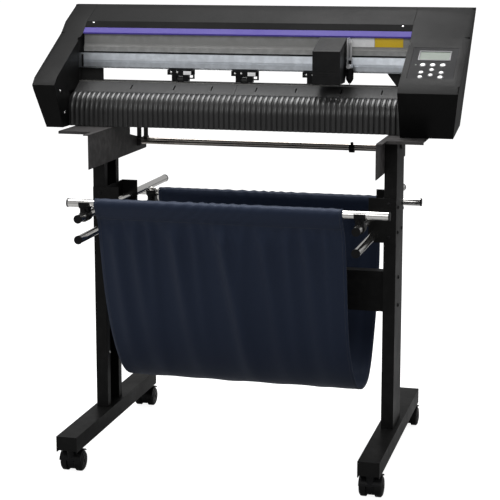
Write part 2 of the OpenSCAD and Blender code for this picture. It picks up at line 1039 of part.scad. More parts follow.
module carriage_cover() {
    low = deck_z + 115;
    skin = 2;
    outline = [[12, low], cover_top[0], cover_top[1], [100, low + 30], [78, low]];
    color(dark_grey)
        difference() {
            across(carriage_x, carriage_x + carriage_w)
                polygon(outline);
            across(carriage_x + skin, carriage_x + carriage_w - skin)
                polygon([[12 + skin, low - 1], [12 + skin, deck_z + 192], [98, deck_z + 219.8],
                    [120, deck_z + 219.8], [120, low - 1]]);
            block([carriage_x + carriage_w - skin - 1, 89, rail_bottom + 7],
                [carriage_x + carriage_w + 1, 101, rail_top + 5]);
        }
}

module carriage_body() {
    x0 = carriage_x + 2.4;
    x1 = carriage_x + carriage_w - 2.4;
    color(mid_grey) {
        block([x0, 88, rail_bottom + 8], [x1, rail_front - 0.5, rail_top + 3.2]);
        block([x0 + 4, 30, rail_bottom + 10], [x0 + 8, 89, rail_top - 4]);
        block([x1 - 8, 30, rail_bottom + 10], [x1 - 4, 89, rail_top - 4]);
        block([x0 + 10, 95, rail_top + 0.4], [x1 - 10, 140, rail_top + 3.2]);
        block([x0 + 20, 137, belt_z - 3], [x1 - 20, 140, rail_top + 3.2]);
        block([x0 + 4, 14.2, rail_top - 20], [x1 - 4, 31, rail_top - 10]);
        for (z = [rail_bottom + 15, rail_top - 10])
            block([x1 - 1, 90, z], [tool_x - 4 - gap, 102, z + 6]);
    }
}

module tool_mount() {
    low = deck_z + 150;
    high = deck_z + 222;
    color(silver)
        difference() {
            union() {
                block([tool_x - 4, 74, low], [tool_x - 1.5, 103, high]);
                block([tool_x - 4, tool_y - 11, low], [tool_x + 6, tool_y + 11, low + 9]);
                block([tool_x - 4, tool_y - 9, high - 12], [tool_x + 5, tool_y + 11, high - 3]);
                rod_z_axis(low + 9, high - 12, tool_x + 2, tool_y + 8, 2.6);
                rod_y_axis(tool_y - 20, tool_y - 10, tool_x + 1, low + 5, 5.5);
            }
            rod_z_axis(low - 1, low + 22, tool_x + 1, tool_y, 4.1);
        }
}

module blade_holder() {
    top = deck_z + 168;
    tip = platen_z + tool_travel + 0.5;
    x = tool_x + 1;
    color(black) {
        rod_z_axis(tip + 11, deck_z + 149.9, x, tool_y, 8.6);
        rod_z_axis(deck_z + 149, top, x, tool_y, 4.05);
        translate([x, tool_y, tip + 3.5])
            cylinder(h = 7.6, r1 = 3.2, r2 = 7.4);
        rod_z_axis(tip, tip + 4, x, tool_y, 0.8);
    }
}

// ---- pinch rollers ----

module pinch_arm(x) {
    top = rail_bottom - gap;
    cheek = 13;
    slot = 8.3;
    color(black)
        difference() {
            union() {
                block([x - 32, 102, top - 13], [x + 32, 130, top]);
                block([x - cheek - 8, 103, pinch_z - 4.6], [x + cheek + 8, 122, top - 12]);
                block([x + cheek + 7, 110, pinch_z + 1], [x + 36, 114, pinch_z + 4]);
                block([x + 32, 110, pinch_z + 1], [x + 36, 114, top - 3]);
            }
            block([x - slot, 99, pinch_z - 10], [x + slot, 126, pinch_z + 8]);
            rod_x_axis(x - cheek, x + cheek, roller_y, pinch_z, 2 + run);
        }
}

module pinch_wheel(x) {
    color(dark_grey) {
        rod_x_axis(x - 8, x + 8, roller_y, pinch_z, pinch_r);
        rod_x_axis(x - 12.6, x + 12.6, roller_y, pinch_z, 2);
    }
}

module pinch_arm_left() {
    pinch_arm(pinch_xs[0]);
}

module pinch_arm_middle() {
    pinch_arm(pinch_xs[1]);
}

module pinch_arm_right() {
    pinch_arm(pinch_xs[2]);
}

module pinch_wheel_left() {
    pinch_wheel(pinch_xs[0]);
}

module pinch_wheel_middle() {
    pinch_wheel(pinch_xs[1]);
}

module pinch_wheel_right() {
    pinch_wheel(pinch_xs[2]);
}

placed()
        base_beams();

placed()
        columns();

placed()
        cross_panel();

placed()
        arm_left();

placed()
        arm_right();

placed()
        rod_brackets();

placed()
        basket_tubes();

placed()
        bar_fittings();

placed()
        basket_cloth();

placed()
        screws();

placed()
        roll_bar_front();

placed()
        roll_bar_rear();

placed()
        roll_stop();

placed()
        caster_front_left();

placed()
        caster_front_right();

placed()
        caster_rear_left();

placed()
        caster_rear_right();

placed()
        wheels_front_left();

placed()
        wheels_front_right();

placed()
        wheels_rear_left();

placed()
        wheels_rear_right();

placed()
        base_tray();

placed()
        top_cover();

placed()
        fascia_band();

placed()
        accent_strip();

placed()
        end_cover_left();

placed()
        end_cover_right();

placed()
        inner_cover();

placed()
        guide_rail();

placed()
        platen();

placed()
        apron_left();

placed()
        apron_right();

placed()
        control_board();

placed()
        feed_roller();

placed()
        motors();

placed()
        power_inlet();

placed()
        panel_plate();

placed()
        display();

placed()
        key_f1();

placed()
        key_f2();

placed()
        key_f3();

placed()
        key_up();

placed()
        key_left();

placed()
        key_right();

placed()
        key_down();

placed()
        key_end();

placed()
        key_enter();

placed()
        carriage_body();

placed()
        carriage_cover();

placed()
        tool_mount();

placed()
        blade_holder();

placed()
        pinch_arm_left();

placed()
        pinch_arm_middle();

placed()
        pinch_arm_right();

placed()
        pinch_wheel_left();

placed()
        pinch_wheel_middle();

placed()
        pinch_wheel_right();

placed()
        drive_pulley();

placed()
        idler_pulley();

placed()
        drive_belt();
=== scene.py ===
import json
import math

import bmesh
import bpy
from mathutils import Euler, Matrix, Vector

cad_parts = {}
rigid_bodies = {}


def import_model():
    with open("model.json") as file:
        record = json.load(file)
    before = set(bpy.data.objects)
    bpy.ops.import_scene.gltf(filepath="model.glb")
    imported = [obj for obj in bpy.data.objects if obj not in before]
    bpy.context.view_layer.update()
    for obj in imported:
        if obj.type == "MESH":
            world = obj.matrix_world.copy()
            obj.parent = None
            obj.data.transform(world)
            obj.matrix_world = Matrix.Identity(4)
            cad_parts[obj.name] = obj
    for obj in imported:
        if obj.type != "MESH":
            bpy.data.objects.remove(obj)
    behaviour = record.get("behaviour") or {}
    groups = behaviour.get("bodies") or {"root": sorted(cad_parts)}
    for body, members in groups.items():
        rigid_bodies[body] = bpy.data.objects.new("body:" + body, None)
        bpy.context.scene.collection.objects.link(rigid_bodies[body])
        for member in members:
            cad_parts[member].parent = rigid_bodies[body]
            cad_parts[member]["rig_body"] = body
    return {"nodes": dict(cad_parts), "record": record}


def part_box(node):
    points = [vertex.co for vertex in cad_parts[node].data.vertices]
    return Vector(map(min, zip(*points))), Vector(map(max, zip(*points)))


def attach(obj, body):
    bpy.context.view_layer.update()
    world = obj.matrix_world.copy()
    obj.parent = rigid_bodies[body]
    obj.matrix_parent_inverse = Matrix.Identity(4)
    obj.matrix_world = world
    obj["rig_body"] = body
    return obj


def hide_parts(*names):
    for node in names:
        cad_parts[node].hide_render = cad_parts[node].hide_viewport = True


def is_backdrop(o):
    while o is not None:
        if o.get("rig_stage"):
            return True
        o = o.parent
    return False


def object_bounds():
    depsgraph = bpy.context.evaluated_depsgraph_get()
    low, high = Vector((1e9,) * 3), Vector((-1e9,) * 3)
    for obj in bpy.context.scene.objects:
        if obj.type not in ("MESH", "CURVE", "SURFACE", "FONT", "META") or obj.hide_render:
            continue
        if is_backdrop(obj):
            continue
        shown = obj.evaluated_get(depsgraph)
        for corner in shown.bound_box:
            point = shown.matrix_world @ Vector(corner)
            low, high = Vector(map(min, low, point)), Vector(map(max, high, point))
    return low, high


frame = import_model()
nodes = frame["nodes"]
slotOf = {s["node"]: s["material_slot"] for s in frame["record"]["subparts"]}
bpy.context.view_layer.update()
scene = bpy.context.scene
print("frame loaded:", len(nodes), "nodes")

# the studio: camera, lights, world and floor

cameraSpec = {
    "place": (0.9174, -3.5738, 1.2281),
    "yaw": 14.392,  # degrees, towards -X
    "down": 9.7,  # degrees below the horizon
    "lens": 110.0,
    "shiftY": -0.08,
}

lightSpec = {
    "ceiling": {"place": (-0.5, 0.5, 3.7), "target": (0, 0.0, 0.8), "size": (2.8, 1.8), "power": 125},
    "front": {"place": (0.6, -3.2, 2.6), "target": (0, 0, 0.6), "size": (2.6, 1.6), "power": 30},
    "left": {"place": (-2.6, -1.5, 1.7), "target": (0, -0.2, 0.5), "size": (0.9, 1.4), "power": 14},
    "right": {"place": (3.0, -0.2, 1.8), "target": (0, 0, 0.7), "size": (1.6, 2.0), "power": 9},
    "seen": 1.0,  # brightness of the backdrop that the camera sees
    "cast": 0.4,  # brightness of the surroundings as they light the object
    "floorGlow": 0.9,  # part of the paper's brightness that no shadow takes away
}


def makeCamera(spec):
    data = bpy.data.cameras.new("camera")
    data.lens = spec["lens"]
    data.shift_y = spec["shiftY"]
    data.clip_end = 50
    camera = bpy.data.objects.new("camera", data)
    camera.location = spec["place"]
    camera.rotation_euler = Euler((math.radians(90 - spec["down"]), 0, math.radians(spec["yaw"])))
    scene.collection.objects.link(camera)
    scene.camera = camera


def makeLight(name, spec):
    data = bpy.data.lights.new(name, "AREA")
    data.shape = "RECTANGLE"
    data.size, data.size_y = spec["size"]
    data.energy = spec["power"]
    light = bpy.data.objects.new(name, data)
    light.location = spec["place"]
    direction = Vector(spec["target"]) - Vector(spec["place"])
    light.rotation_euler = direction.to_track_quat("-Z", "Y").to_euler()
    scene.collection.objects.link(light)


def makeWorld(seen, cast):
    world = bpy.data.worlds.new("studio")
    world.use_nodes = True
    tree = world.node_tree
    background = tree.nodes["Background"]
    path = tree.nodes.new("ShaderNodeLightPath")
    mix = tree.nodes.new("ShaderNodeMix")
    mix.inputs["A"].default_value = cast
    mix.inputs["B"].default_value = seen
    tree.links.new(path.outputs["Is Camera Ray"], mix.inputs["Factor"])
    tree.links.new(mix.outputs["Result"], background.inputs["Strength"])
    background.inputs["Color"].default_value = (1, 1, 1, 1)
    scene.world = world


def makeFloor(glow):
    # the paper shows near white, with only a soft shadow under the stand
    mesh = bpy.data.meshes.new("floor")
    mesh.from_pydata([(-40, -9, 0), (40, -9, 0), (40, 90, 0), (-40, 90, 0)], [], [(0, 1, 2, 3)])
    floor = bpy.data.objects.new("floor", mesh)
    scene.collection.objects.link(floor)
    paper = bpy.data.materials.new("floorPaper")
    paper.use_nodes = True
    tree = paper.node_tree
    shader = tree.nodes["Principled BSDF"]
    shader.inputs["Base Color"].default_value = (0.4, 0.4, 0.4, 1)
    shader.inputs["Roughness"].default_value = 0.9
    path = tree.nodes.new("ShaderNodeLightPath")
    scale = tree.nodes.new("ShaderNodeMath")
    scale.operation = "MULTIPLY"
    scale.inputs[1].default_value = glow
    tree.links.new(path.outputs["Is Camera Ray"], scale.inputs[0])
    tree.links.new(scale.outputs[0], shader.inputs["Emission Strength"])
    shader.inputs["Emission Color"].default_value = (1, 1, 1, 1)
    mesh.materials.append(paper)
    floor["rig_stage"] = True


makeCamera(cameraSpec)
for lightName in ("ceiling", "front", "left", "right"):
    makeLight(lightName, lightSpec[lightName])
makeWorld(lightSpec["seen"], lightSpec["cast"])
makeFloor(lightSpec["floorGlow"])
scene.view_settings.view_transform = "Standard"
print("camera, lights and floor placed")

# shader groups, each shared by several finishes


def newGroup(name, inputs, outputs):
    tree = bpy.data.node_groups.new(name, "ShaderNodeTree")
    for label, kind, value in inputs:
        socket = tree.interface.new_socket(name=label, in_out="INPUT", socket_type=kind)
        if value is not None:
            socket.default_value = value
    for label, kind in outputs:
        tree.interface.new_socket(name=label, in_out="OUTPUT", socket_type=kind)
    return tree, tree.nodes.new("NodeGroupInput"), tree.nodes.new("NodeGroupOutput")


def noiseNode(tree, vector, scale, detail=3.0):
    node = tree.nodes.new("ShaderNodeTexNoise")
    node.inputs["Detail"].default_value = detail
    tree.links.new(vector, node.inputs["Vector"])
    if isinstance(scale, float):
        node.inputs["Scale"].default_value = scale
    else:
        tree.links.new(scale, node.inputs["Scale"])
    return node.outputs["Fac"]


def rangeNode(tree, value, low, high, toLow, toHigh):
    node = tree.nodes.new("ShaderNodeMapRange")
    tree.links.new(value, node.inputs["Value"])
    for label, item in (("From Min", low), ("From Max", high), ("To Min", toLow), ("To Max", toHigh)):
        if isinstance(item, (int, float)):
            node.inputs[label].default_value = item
        else:
            tree.links.new(item, node.inputs[label])
    return node.outputs["Result"]


def mathNode(tree, operation, a, b):
    node = tree.nodes.new("ShaderNodeMath")
    node.operation = operation
    for i, item in enumerate((a, b)):
        if isinstance(item, (int, float)):
            node.inputs[i].default_value = item
        else:
            tree.links.new(item, node.inputs[i])
    return node.outputs[0]


def blendValues(tree, a, b, share):
    # a for its share, b for the rest
    return mathNode(tree, "ADD", mathNode(tree, "MULTIPLY", a, share),
        mathNode(tree, "MULTIPLY", b, round(1 - share, 6)))


def mixColors(tree, factor, a, b):
    node = tree.nodes.new("ShaderNodeMix")
    node.data_type = "RGBA"
    tree.links.new(factor, node.inputs["Factor"])
    tree.links.new(a, node.inputs["A"])
    tree.links.new(b, node.inputs["B"])
    return node.outputs["Result"]


def makeGrainGroup():
    # fine pebble of moulded plastic or powder coat, with slow changes of gloss
    tree, given, out = newGroup("grain", [
        ("Pebble Scale", "NodeSocketFloat", 900.0), ("Pebble Height", "NodeSocketFloat", 0.0001),
        ("Gloss Low", "NodeSocketFloat", 0.4), ("Gloss High", "NodeSocketFloat", 0.5)],
        [("Roughness", "NodeSocketFloat"), ("Height", "NodeSocketFloat")])
    place = tree.nodes.new("ShaderNodeTexCoord").outputs["Object"]
    pebble = noiseNode(tree, place, given.outputs["Pebble Scale"], 2.0)
    slow = noiseNode(tree, place, 9.0, 4.0)
    streak = noiseNode(tree, place, 60.0, 3.0)
    both = blendValues(tree, slow, streak, 0.7)
    rough = rangeNode(tree, both, 0.35, 0.65, given.outputs["Gloss Low"], given.outputs["Gloss High"])
    tree.links.new(rough, out.inputs["Roughness"])
    tree.links.new(mathNode(tree, "MULTIPLY", pebble, given.outputs["Pebble Height"]), out.inputs["Height"])
    return tree


def makeBrushedGroup():
    # long fine lines, as drawing and extrusion leave them, along the axis that is stretched
    tree, given, out = newGroup("brushed", [
        ("Line Scale", "NodeSocketFloat", 700.0), ("Line Height", "NodeSocketFloat", 0.00003),
        ("Gloss Low", "NodeSocketFloat", 0.25), ("Gloss High", "NodeSocketFloat", 0.4),
        ("Stretch", "NodeSocketVector", (0.02, 1.0, 1.0))],
        [("Roughness", "NodeSocketFloat"), ("Height", "NodeSocketFloat")])
    place = tree.nodes.new("ShaderNodeTexCoord").outputs["Object"]
    stretch = tree.nodes.new("ShaderNodeVectorMath")
    stretch.operation = "MULTIPLY"
    tree.links.new(place, stretch.inputs[0])
    tree.links.new(given.outputs["Stretch"], stretch.inputs[1])
    lines = noiseNode(tree, stretch.outputs["Vector"], given.outputs["Line Scale"], 3.0)
    cloud = noiseNode(tree, place, 14.0, 4.0)
    both = blendValues(tree, lines, cloud, 0.6)
    rough = rangeNode(tree, both, 0.35, 0.65, given.outputs["Gloss Low"], given.outputs["Gloss High"])
    tree.links.new(rough, out.inputs["Roughness"])
    tree.links.new(mathNode(tree, "MULTIPLY", lines, given.outputs["Line Height"]), out.inputs["Height"])
    return tree


def makeWearGroup():
    # a little dust where a face looks up, and paler rubbed corners
    tree, given, out = newGroup("wear", [
        ("Color", "NodeSocketColor", (0.02, 0.02, 0.02, 1)),
        ("Rubbed", "NodeSocketColor", (0.1, 0.1, 0.1, 1)),
        ("Dust", "NodeSocketColor", (0.2, 0.19, 0.18, 1)), ("Rub Amount", "NodeSocketFloat", 0.5),
        ("Dust Amount", "NodeSocketFloat", 0.1), ("Tint Amount", "NodeSocketFloat", 0.12)],
        [("Color", "NodeSocketColor")])
    place = tree.nodes.new("ShaderNodeTexCoord").outputs["Object"]
    shape = tree.nodes.new("ShaderNodeNewGeometry")
    split = tree.nodes.new("ShaderNodeSeparateXYZ")
    tree.links.new(shape.outputs["Normal"], split.inputs[0])
    corner = rangeNode(tree, shape.outputs["Pointiness"], 0.52, 0.62, 0.0, 1.0)
    patches = rangeNode(tree, noiseNode(tree, place, 55.0, 5.0), 0.42, 0.66, 0.0, 1.0)
    rub = mathNode(tree, "MULTIPLY", mathNode(tree, "MULTIPLY", corner, patches), given.outputs["Rub Amount"])
    fleck = rangeNode(tree, noiseNode(tree, place, 230.0, 6.0), 0.45, 0.75, 0.0, 1.0)
    up = rangeNode(tree, split.outputs["Z"], 0.35, 1.0, 0.0, 1.0)
    dust = mathNode(tree, "MULTIPLY", mathNode(tree, "MULTIPLY", fleck, up), given.outputs["Dust Amount"])
    tint = mathNode(tree, "MULTIPLY", noiseNode(tree, place, 5.0, 3.0), given.outputs["Tint Amount"])
    base = mixColors(tree, tint, given.outputs["Color"], given.outputs["Rubbed"])
    worn = mixColors(tree, rub, base, given.outputs["Rubbed"])
    tree.links.new(mixColors(tree, dust, worn, given.outputs["Dust"]), out.inputs["Color"])
    return tree


def makeWeaveGroup():
    # plain weave on the cloth's own map, which is in metres
    tree, given, out = newGroup("weave", [("Threads", "NodeSocketFloat", 1100.0),
        ("Thread Height", "NodeSocketFloat", 0.0002)],
        [("Mask", "NodeSocketFloat"), ("Height", "NodeSocketFloat")])
    split = tree.nodes.new("ShaderNodeSeparateXYZ")
    tree.links.new(tree.nodes.new("ShaderNodeTexCoord").outputs["UV"], split.inputs[0])
    waves = []
    for axis, shift in (("X", 0.0), ("Y", 0.5)):
        turn = mathNode(tree, "MULTIPLY", split.outputs[axis], given.outputs["Threads"])
        angle = mathNode(tree, "MULTIPLY", mathNode(tree, "ADD", turn, shift), math.pi)
        waves.append(mathNode(tree, "SINE", angle, 0))
    cross = mathNode(tree, "MULTIPLY", waves[0], waves[1])
    mask = rangeNode(tree, cross, -1.0, 1.0, 0.0, 1.0)
    slub = noiseNode(tree, tree.nodes.new("ShaderNodeTexCoord").outputs["UV"], 160.0, 3.0)
    full = blendValues(tree, mask, slub, 0.7)
    tree.links.new(full, out.inputs["Mask"])
    tree.links.new(mathNode(tree, "MULTIPLY", full, given.outputs["Thread Height"]), out.inputs["Height"])
    return tree


grainGroup = makeGrainGroup()
brushedGroup = makeBrushedGroup()
wearGroup = makeWearGroup()
weaveGroup = makeWeaveGroup()
print("shader groups built")

# one finish for each kind of material


def placeGroup(tree, group, values):
    node = tree.nodes.new("ShaderNodeGroup")
    node.node_tree = group
    for label, value in values.items():
        node.inputs[label].default_value = value
    return node


def addBump(tree, shader, height, strength):
    bump = tree.nodes.new("ShaderNodeBump")
    bump.inputs["Strength"].default_value = strength
    bump.inputs["Distance"].default_value = 1.0
    tree.links.new(height, bump.inputs["Height"])
    tree.links.new(bump.outputs["Normal"], shader.inputs["Normal"])


def makeFinish(name, spec):
    material = bpy.data.materials.new(name)
    material.use_nodes = True
    tree = material.node_tree
    shader = tree.nodes["Principled BSDF"]
    rubbed = spec.get("rubbed", [c * 3 + 0.02 for c in spec["color"]])
    wear = placeGroup(tree, wearGroup, {"Color": (*spec["color"], 1), "Rubbed": (*rubbed, 1),
        "Dust": (*spec.get("dust", (0.20, 0.19, 0.18)), 1), "Rub Amount": spec.get("rubAmount", 0.35),
        "Dust Amount": spec.get("dustAmount", 0.04), "Tint Amount": spec.get("tint", 0.08)})
    tree.links.new(wear.outputs["Color"], shader.inputs["Base Color"])
    low, high = spec["gloss"]
    if "stretch" in spec:
        skin = placeGroup(tree, brushedGroup, {"Gloss Low": low, "Gloss High": high,
            "Stretch": spec["stretch"], "Line Scale": spec.get("scale", 700.0),
            "Line Height": spec.get("height", 0.00003)})
    else:
        skin = placeGroup(tree, grainGroup, {"Gloss Low": low, "Gloss High": high,
            "Pebble Scale": spec.get("scale", 900.0), "Pebble Height": spec.get("height", 0.0001)})
    tree.links.new(skin.outputs["Roughness"], shader.inputs["Roughness"])
    addBump(tree, shader, skin.outputs["Height"], 0.6)
    shader.inputs["Metallic"].default_value = spec.get("metal", 0.0)
    shader.inputs["Specular IOR Level"].default_value = spec.get("specular", 0.5)
    return material


finishSpec = {
    "black_coat": {"color": (0.003, 0.003, 0.003), "gloss": (0.38, 0.5), "specular": 0.12,
        "scale": 1400.0, "height": 0.00006, "rubAmount": 0.2, "dustAmount": 0.02},
    "arm_coat": {"color": (0.037, 0.035, 0.035), "gloss": (0.42, 0.55), "specular": 0.15,
        "scale": 1400.0, "height": 0.00006},
    "bright_tube": {"color": (0.74, 0.73, 0.71), "gloss": (0.10, 0.2), "metal": 1.0,
        "stretch": (1.0, 0.03, 1.0), "rubAmount": 0.0, "dustAmount": 0.05, "dust": (0.3, 0.29, 0.27)},
    "bright_bar": {"color": (0.74, 0.73, 0.71), "gloss": (0.10, 0.2), "metal": 1.0,
        "stretch": (0.03, 1.0, 1.0), "rubAmount": 0.0, "dustAmount": 0.05, "dust": (0.3, 0.29, 0.27)},
    "black_plastic": {"color": (0.002, 0.002, 0.0025), "gloss": (0.32, 0.45), "specular": 0.16,
        "height": 0.00008},
    "cover_plastic": {"color": (0.002, 0.002, 0.002), "gloss": (0.4, 0.5), "specular": 0.09,
        "scale": 1100.0, "height": 0.00012, "rubAmount": 0.1, "dustAmount": 0.015},
    "zinc_screw": {"color": (0.62, 0.62, 0.61), "gloss": (0.2, 0.35), "metal": 1.0, "rubAmount": 0.1},
    "roll_steel": {"color": (0.50, 0.46, 0.42), "gloss": (0.22, 0.34), "metal": 1.0,
        "stretch": (0.03, 1.0, 1.0)},
    "wheel_plastic": {"color": (0.003, 0.003, 0.003), "gloss": (0.28, 0.4), "specular": 0.16,
        "height": 0.00006, "rubAmount": 0.15, "dustAmount": 0.02},
    "chassis_steel": {"color": (0.02, 0.02, 0.02), "gloss": (0.4, 0.55), "specular": 0.2},
    "band_black": {"color": (0.001, 0.001, 0.001), "gloss": (0.3, 0.4), "specular": 0.02, "height": 0.00005,
        "rubAmount": 0.03, "dustAmount": 0.005},
    "accent_purple": {"color": (0.06, 0.042, 0.25), "rubbed": (0.09, 0.07, 0.3), "gloss": (0.35, 0.45),
        "specular": 0.12, "height": 0.00005},
    "inner_grey": {"color": (0.21, 0.21, 0.204), "gloss": (0.4, 0.52), "height": 0.0001},
    "rail_aluminium": {"color": (0.6, 0.635, 0.68), "gloss": (0.34, 0.46), "metal": 1.0,
        "stretch": (0.02, 1.0, 1.0), "rubAmount": 0.1},
    "platen_grey": {"color": (0.075, 0.074, 0.07), "gloss": (0.38, 0.5), "stretch": (0.05, 1.0, 1.0),
        "rubbed": (0.13, 0.13, 0.12), "tint": 0.25},
    "strip_grey": {"color": (0.02, 0.02, 0.02), "gloss": (0.36, 0.5), "specular": 0.22, "height": 0.00008},
    "apron_black": {"color": (0.005, 0.005, 0.005), "gloss": (0.3, 0.4), "specular": 0.75, "height": 0.00008},
    "board_green": {"color": (0.02, 0.12, 0.05), "gloss": (0.35, 0.5)},
    "panel_grey": {"color": (0.003, 0.003, 0.004), "gloss": (0.4, 0.5), "specular": 0.07, "height": 0.00006,
        "rubAmount": 0.15, "dustAmount": 0.015},
    "bezel_grey": {"color": (0.05, 0.05, 0.055), "gloss": (0.3, 0.42), "height": 0.00005},
    "lcd_green": {"color": (0.13, 0.155, 0.13), "gloss": (0.3, 0.34), "height": 0.00001, "specular": 0.15,
        "rubAmount": 0.03, "dustAmount": 0.01},
    "key_white": {"color": (0.8, 0.8, 0.8), "gloss": (0.32, 0.42), "height": 0.00005, "rubAmount": 0.1},
    "carriage_grey": {"color": (0.002, 0.002, 0.0023), "gloss": (0.36, 0.46), "specular": 0.22,
        "height": 0.0001},
    "tool_silver": {"color": (0.6, 0.6, 0.61), "gloss": (0.24, 0.38), "metal": 1.0,
        "stretch": (1.0, 1.0, 0.05)},
    "roller_rubber": {"color": (0.012, 0.012, 0.012), "gloss": (0.6, 0.75), "scale": 500.0},
    "belt_rubber": {"color": (0.01, 0.01, 0.01), "gloss": (0.6, 0.75)},
    "plate_yellow": {"color": (0.75, 0.5, 0.006), "rubbed": (0.7, 0.5, 0.1), "gloss": (0.3, 0.4),
        "rubAmount": 0.1},
    "plate_white": {"color": (0.8, 0.8, 0.8), "gloss": (0.3, 0.4), "rubAmount": 0.1},
    "thread_dark": {"color": (0.03, 0.034, 0.042), "gloss": (0.6, 0.8), "scale": 2500.0},
}
finishes = {name: makeFinish(name, spec) for name, spec in finishSpec.items()}


def makeClothFinish():
    material = bpy.data.materials.new("cloth_navy")
    material.use_nodes = True
    tree = material.node_tree
    shader = tree.nodes["Principled BSDF"]
    weave = placeGroup(tree, weaveGroup, {"Threads": 900.0, "Thread Height": 0.00022})
    wear = placeGroup(tree, wearGroup, {
        "Color": (0.0075, 0.0115, 0.025, 1), "Rubbed": (0.015, 0.022, 0.042, 1),
        "Dust": (0.05, 0.052, 0.06, 1), "Rub Amount": 0.2, "Dust Amount": 0.06, "Tint Amount": 0.3})
    ramp = rangeNode(tree, weave.outputs["Mask"], 0.1, 0.9, 0.72, 1.25)
    shade = tree.nodes.new("ShaderNodeVectorMath")
    shade.operation = "SCALE"
    tree.links.new(wear.outputs["Color"], shade.inputs[0])
    tree.links.new(ramp, shade.inputs["Scale"])
    tree.links.new(shade.outputs["Vector"], shader.inputs["Base Color"])
    tree.links.new(rangeNode(tree, weave.outputs["Mask"], 0.0, 1.0, 0.62, 0.46), shader.inputs["Roughness"])
    addBump(tree, shader, weave.outputs["Height"], 0.7)
    shader.inputs["Sheen Weight"].default_value = 0.12
    shader.inputs["Sheen Roughness"].default_value = 0.45
    shader.inputs["Sheen Tint"].default_value = (0.62, 0.7, 0.9, 1)
    shader.inputs["Specular IOR Level"].default_value = 0.33
    shader.inputs["Specular Tint"].default_value = (0.6, 0.72, 1.0, 1)
    return material


finishes["cloth_navy"] = makeClothFinish()
for name, piece in nodes.items():
    piece.data.materials.clear()
    piece.data.materials.append(finishes[slotOf[name]])
print("finishes made:", len(finishes))

# helpers that make, place and round pieces


def spot(x, y, z):
    # millimetres measured from the stand's middle, as the frame's metres
    return Vector((x / 1000, (y - 31) / 1000, z / 1000))


def newPiece(name, mesh, material, body, instead=()):
    piece = bpy.data.objects.new(name, mesh)
    scene.collection.objects.link(piece)
    mesh.materials.clear()
    mesh.materials.append(material)
    if instead:
        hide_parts(*instead)
    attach(piece, body)
    return piece


def smoothShade(mesh, angle=35.0):
    mesh.polygons.foreach_set("use_smooth", [True] * len(mesh.polygons))
    mesh.set_sharp_from_angle(angle=math.radians(angle))


def addBevel(piece, width, segments=2, limit=30.0):
    bevel = piece.modifiers.new("softEdges", "BEVEL")
    bevel.width = width
    bevel.segments = segments
    bevel.limit_method = "ANGLE"
    bevel.angle_limit = math.radians(limit)
    bevel.harden_normals = True
    return bevel


def softened(node, width, material=None, segments=2):
    # a merged copy of a CAD node with its sharp edges rounded
    source = nodes[node]
    mesh = source.data.copy()
    work = bmesh.new()
    work.from_mesh(mesh)
    bmesh.ops.remove_doubles(work, verts=work.verts, dist=0.00001)
    bmesh.ops.dissolve_limit(work, angle_limit=math.radians(0.6), verts=work.verts, edges=work.edges)
    work.to_mesh(mesh)
    work.free()
    if mesh.has_custom_normals:
        mesh.attributes.remove(mesh.attributes["custom_normal"])
    smoothShade(mesh, 30)
    piece = newPiece(node + "_soft", mesh, material or finishes[slotOf[node]], source["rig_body"],
        (node,))
    addBevel(piece, width, segments)
    return piece


def gridMesh(name, rows, closed=False, uvs=None):
    # a sheet of quads through rows of points
    mesh = bpy.data.meshes.new(name)
    across, down = len(rows[0]), len(rows)
    points = [p for row in rows for p in row]
    faces = []
    for i in range(down - 1):
        for j in range(across if closed else across - 1):
            k = (j + 1) % across
            faces.append((i * across + j, i * across + k, (i + 1) * across + k, (i + 1) * across + j))
    mesh.from_pydata(points, [], faces)
    if uvs:
        layer = mesh.uv_layers.new(name="UVMap")
        for loop in mesh.loops:
            layer.data[loop.index].uv = uvs[loop.vertex_index]
    return mesh


def tidyMesh(mesh, angle=35.0):
    work = bmesh.new()
    work.from_mesh(mesh)
    bmesh.ops.remove_doubles(work, verts=work.verts, dist=0.000005)
    bmesh.ops.recalc_face_normals(work, faces=work.faces)
    work.to_mesh(mesh)
    work.free()
    smoothShade(mesh, angle)
    return mesh


def blockMesh(name, low, high, width, segments=2):
    # a box with rounded edges
    work = bmesh.new()
    bmesh.ops.create_cube(work, size=1)
    size = Vector(high) - Vector(low)
    middle = (Vector(high) + Vector(low)) / 2
    place = Matrix.Translation(middle) @ Matrix.Diagonal((*size, 1))
    bmesh.ops.transform(work, matrix=place, verts=work.verts)
    bmesh.ops.bevel(work, geom=work.edges, offset=width, segments=segments, affect="EDGES", profile=0.7)
    mesh = bpy.data.meshes.new(name)
    work.to_mesh(mesh)
    work.free()
    smoothShade(mesh)
    return mesh


def turnedMesh(name, line, centre, toward, sides=40):
    # a turned form from (distance along, radius) pairs, closed at both ends
    axis = Vector(toward).normalized()
    turn = axis.to_track_quat("Z", "Y").to_matrix()
    rows = []
    for along, radius in line:
        rows.append([Vector(centre) + turn @ Vector((radius * math.cos(2 * math.pi * i / sides),
            radius * math.sin(2 * math.pi * i / sides), along)) for i in range(sides)])
    mesh = gridMesh(name, rows, closed=True)
    work = bmesh.new()
    work.from_mesh(mesh)
    work.verts.ensure_lookup_table()
    bmesh.ops.contextual_create(work, geom=work.verts[:sides])
    bmesh.ops.contextual_create(work, geom=work.verts[-sides:])
    work.to_mesh(mesh)
    work.free()
    return tidyMesh(mesh)


def joinMeshes(name, meshes):
    work = bmesh.new()
    for mesh in meshes:
        work.from_mesh(mesh)
    joined = bpy.data.meshes.new(name)
    work.to_mesh(joined)
    work.free()
    smoothShade(joined)
    return joined


# trees that repeat small parts


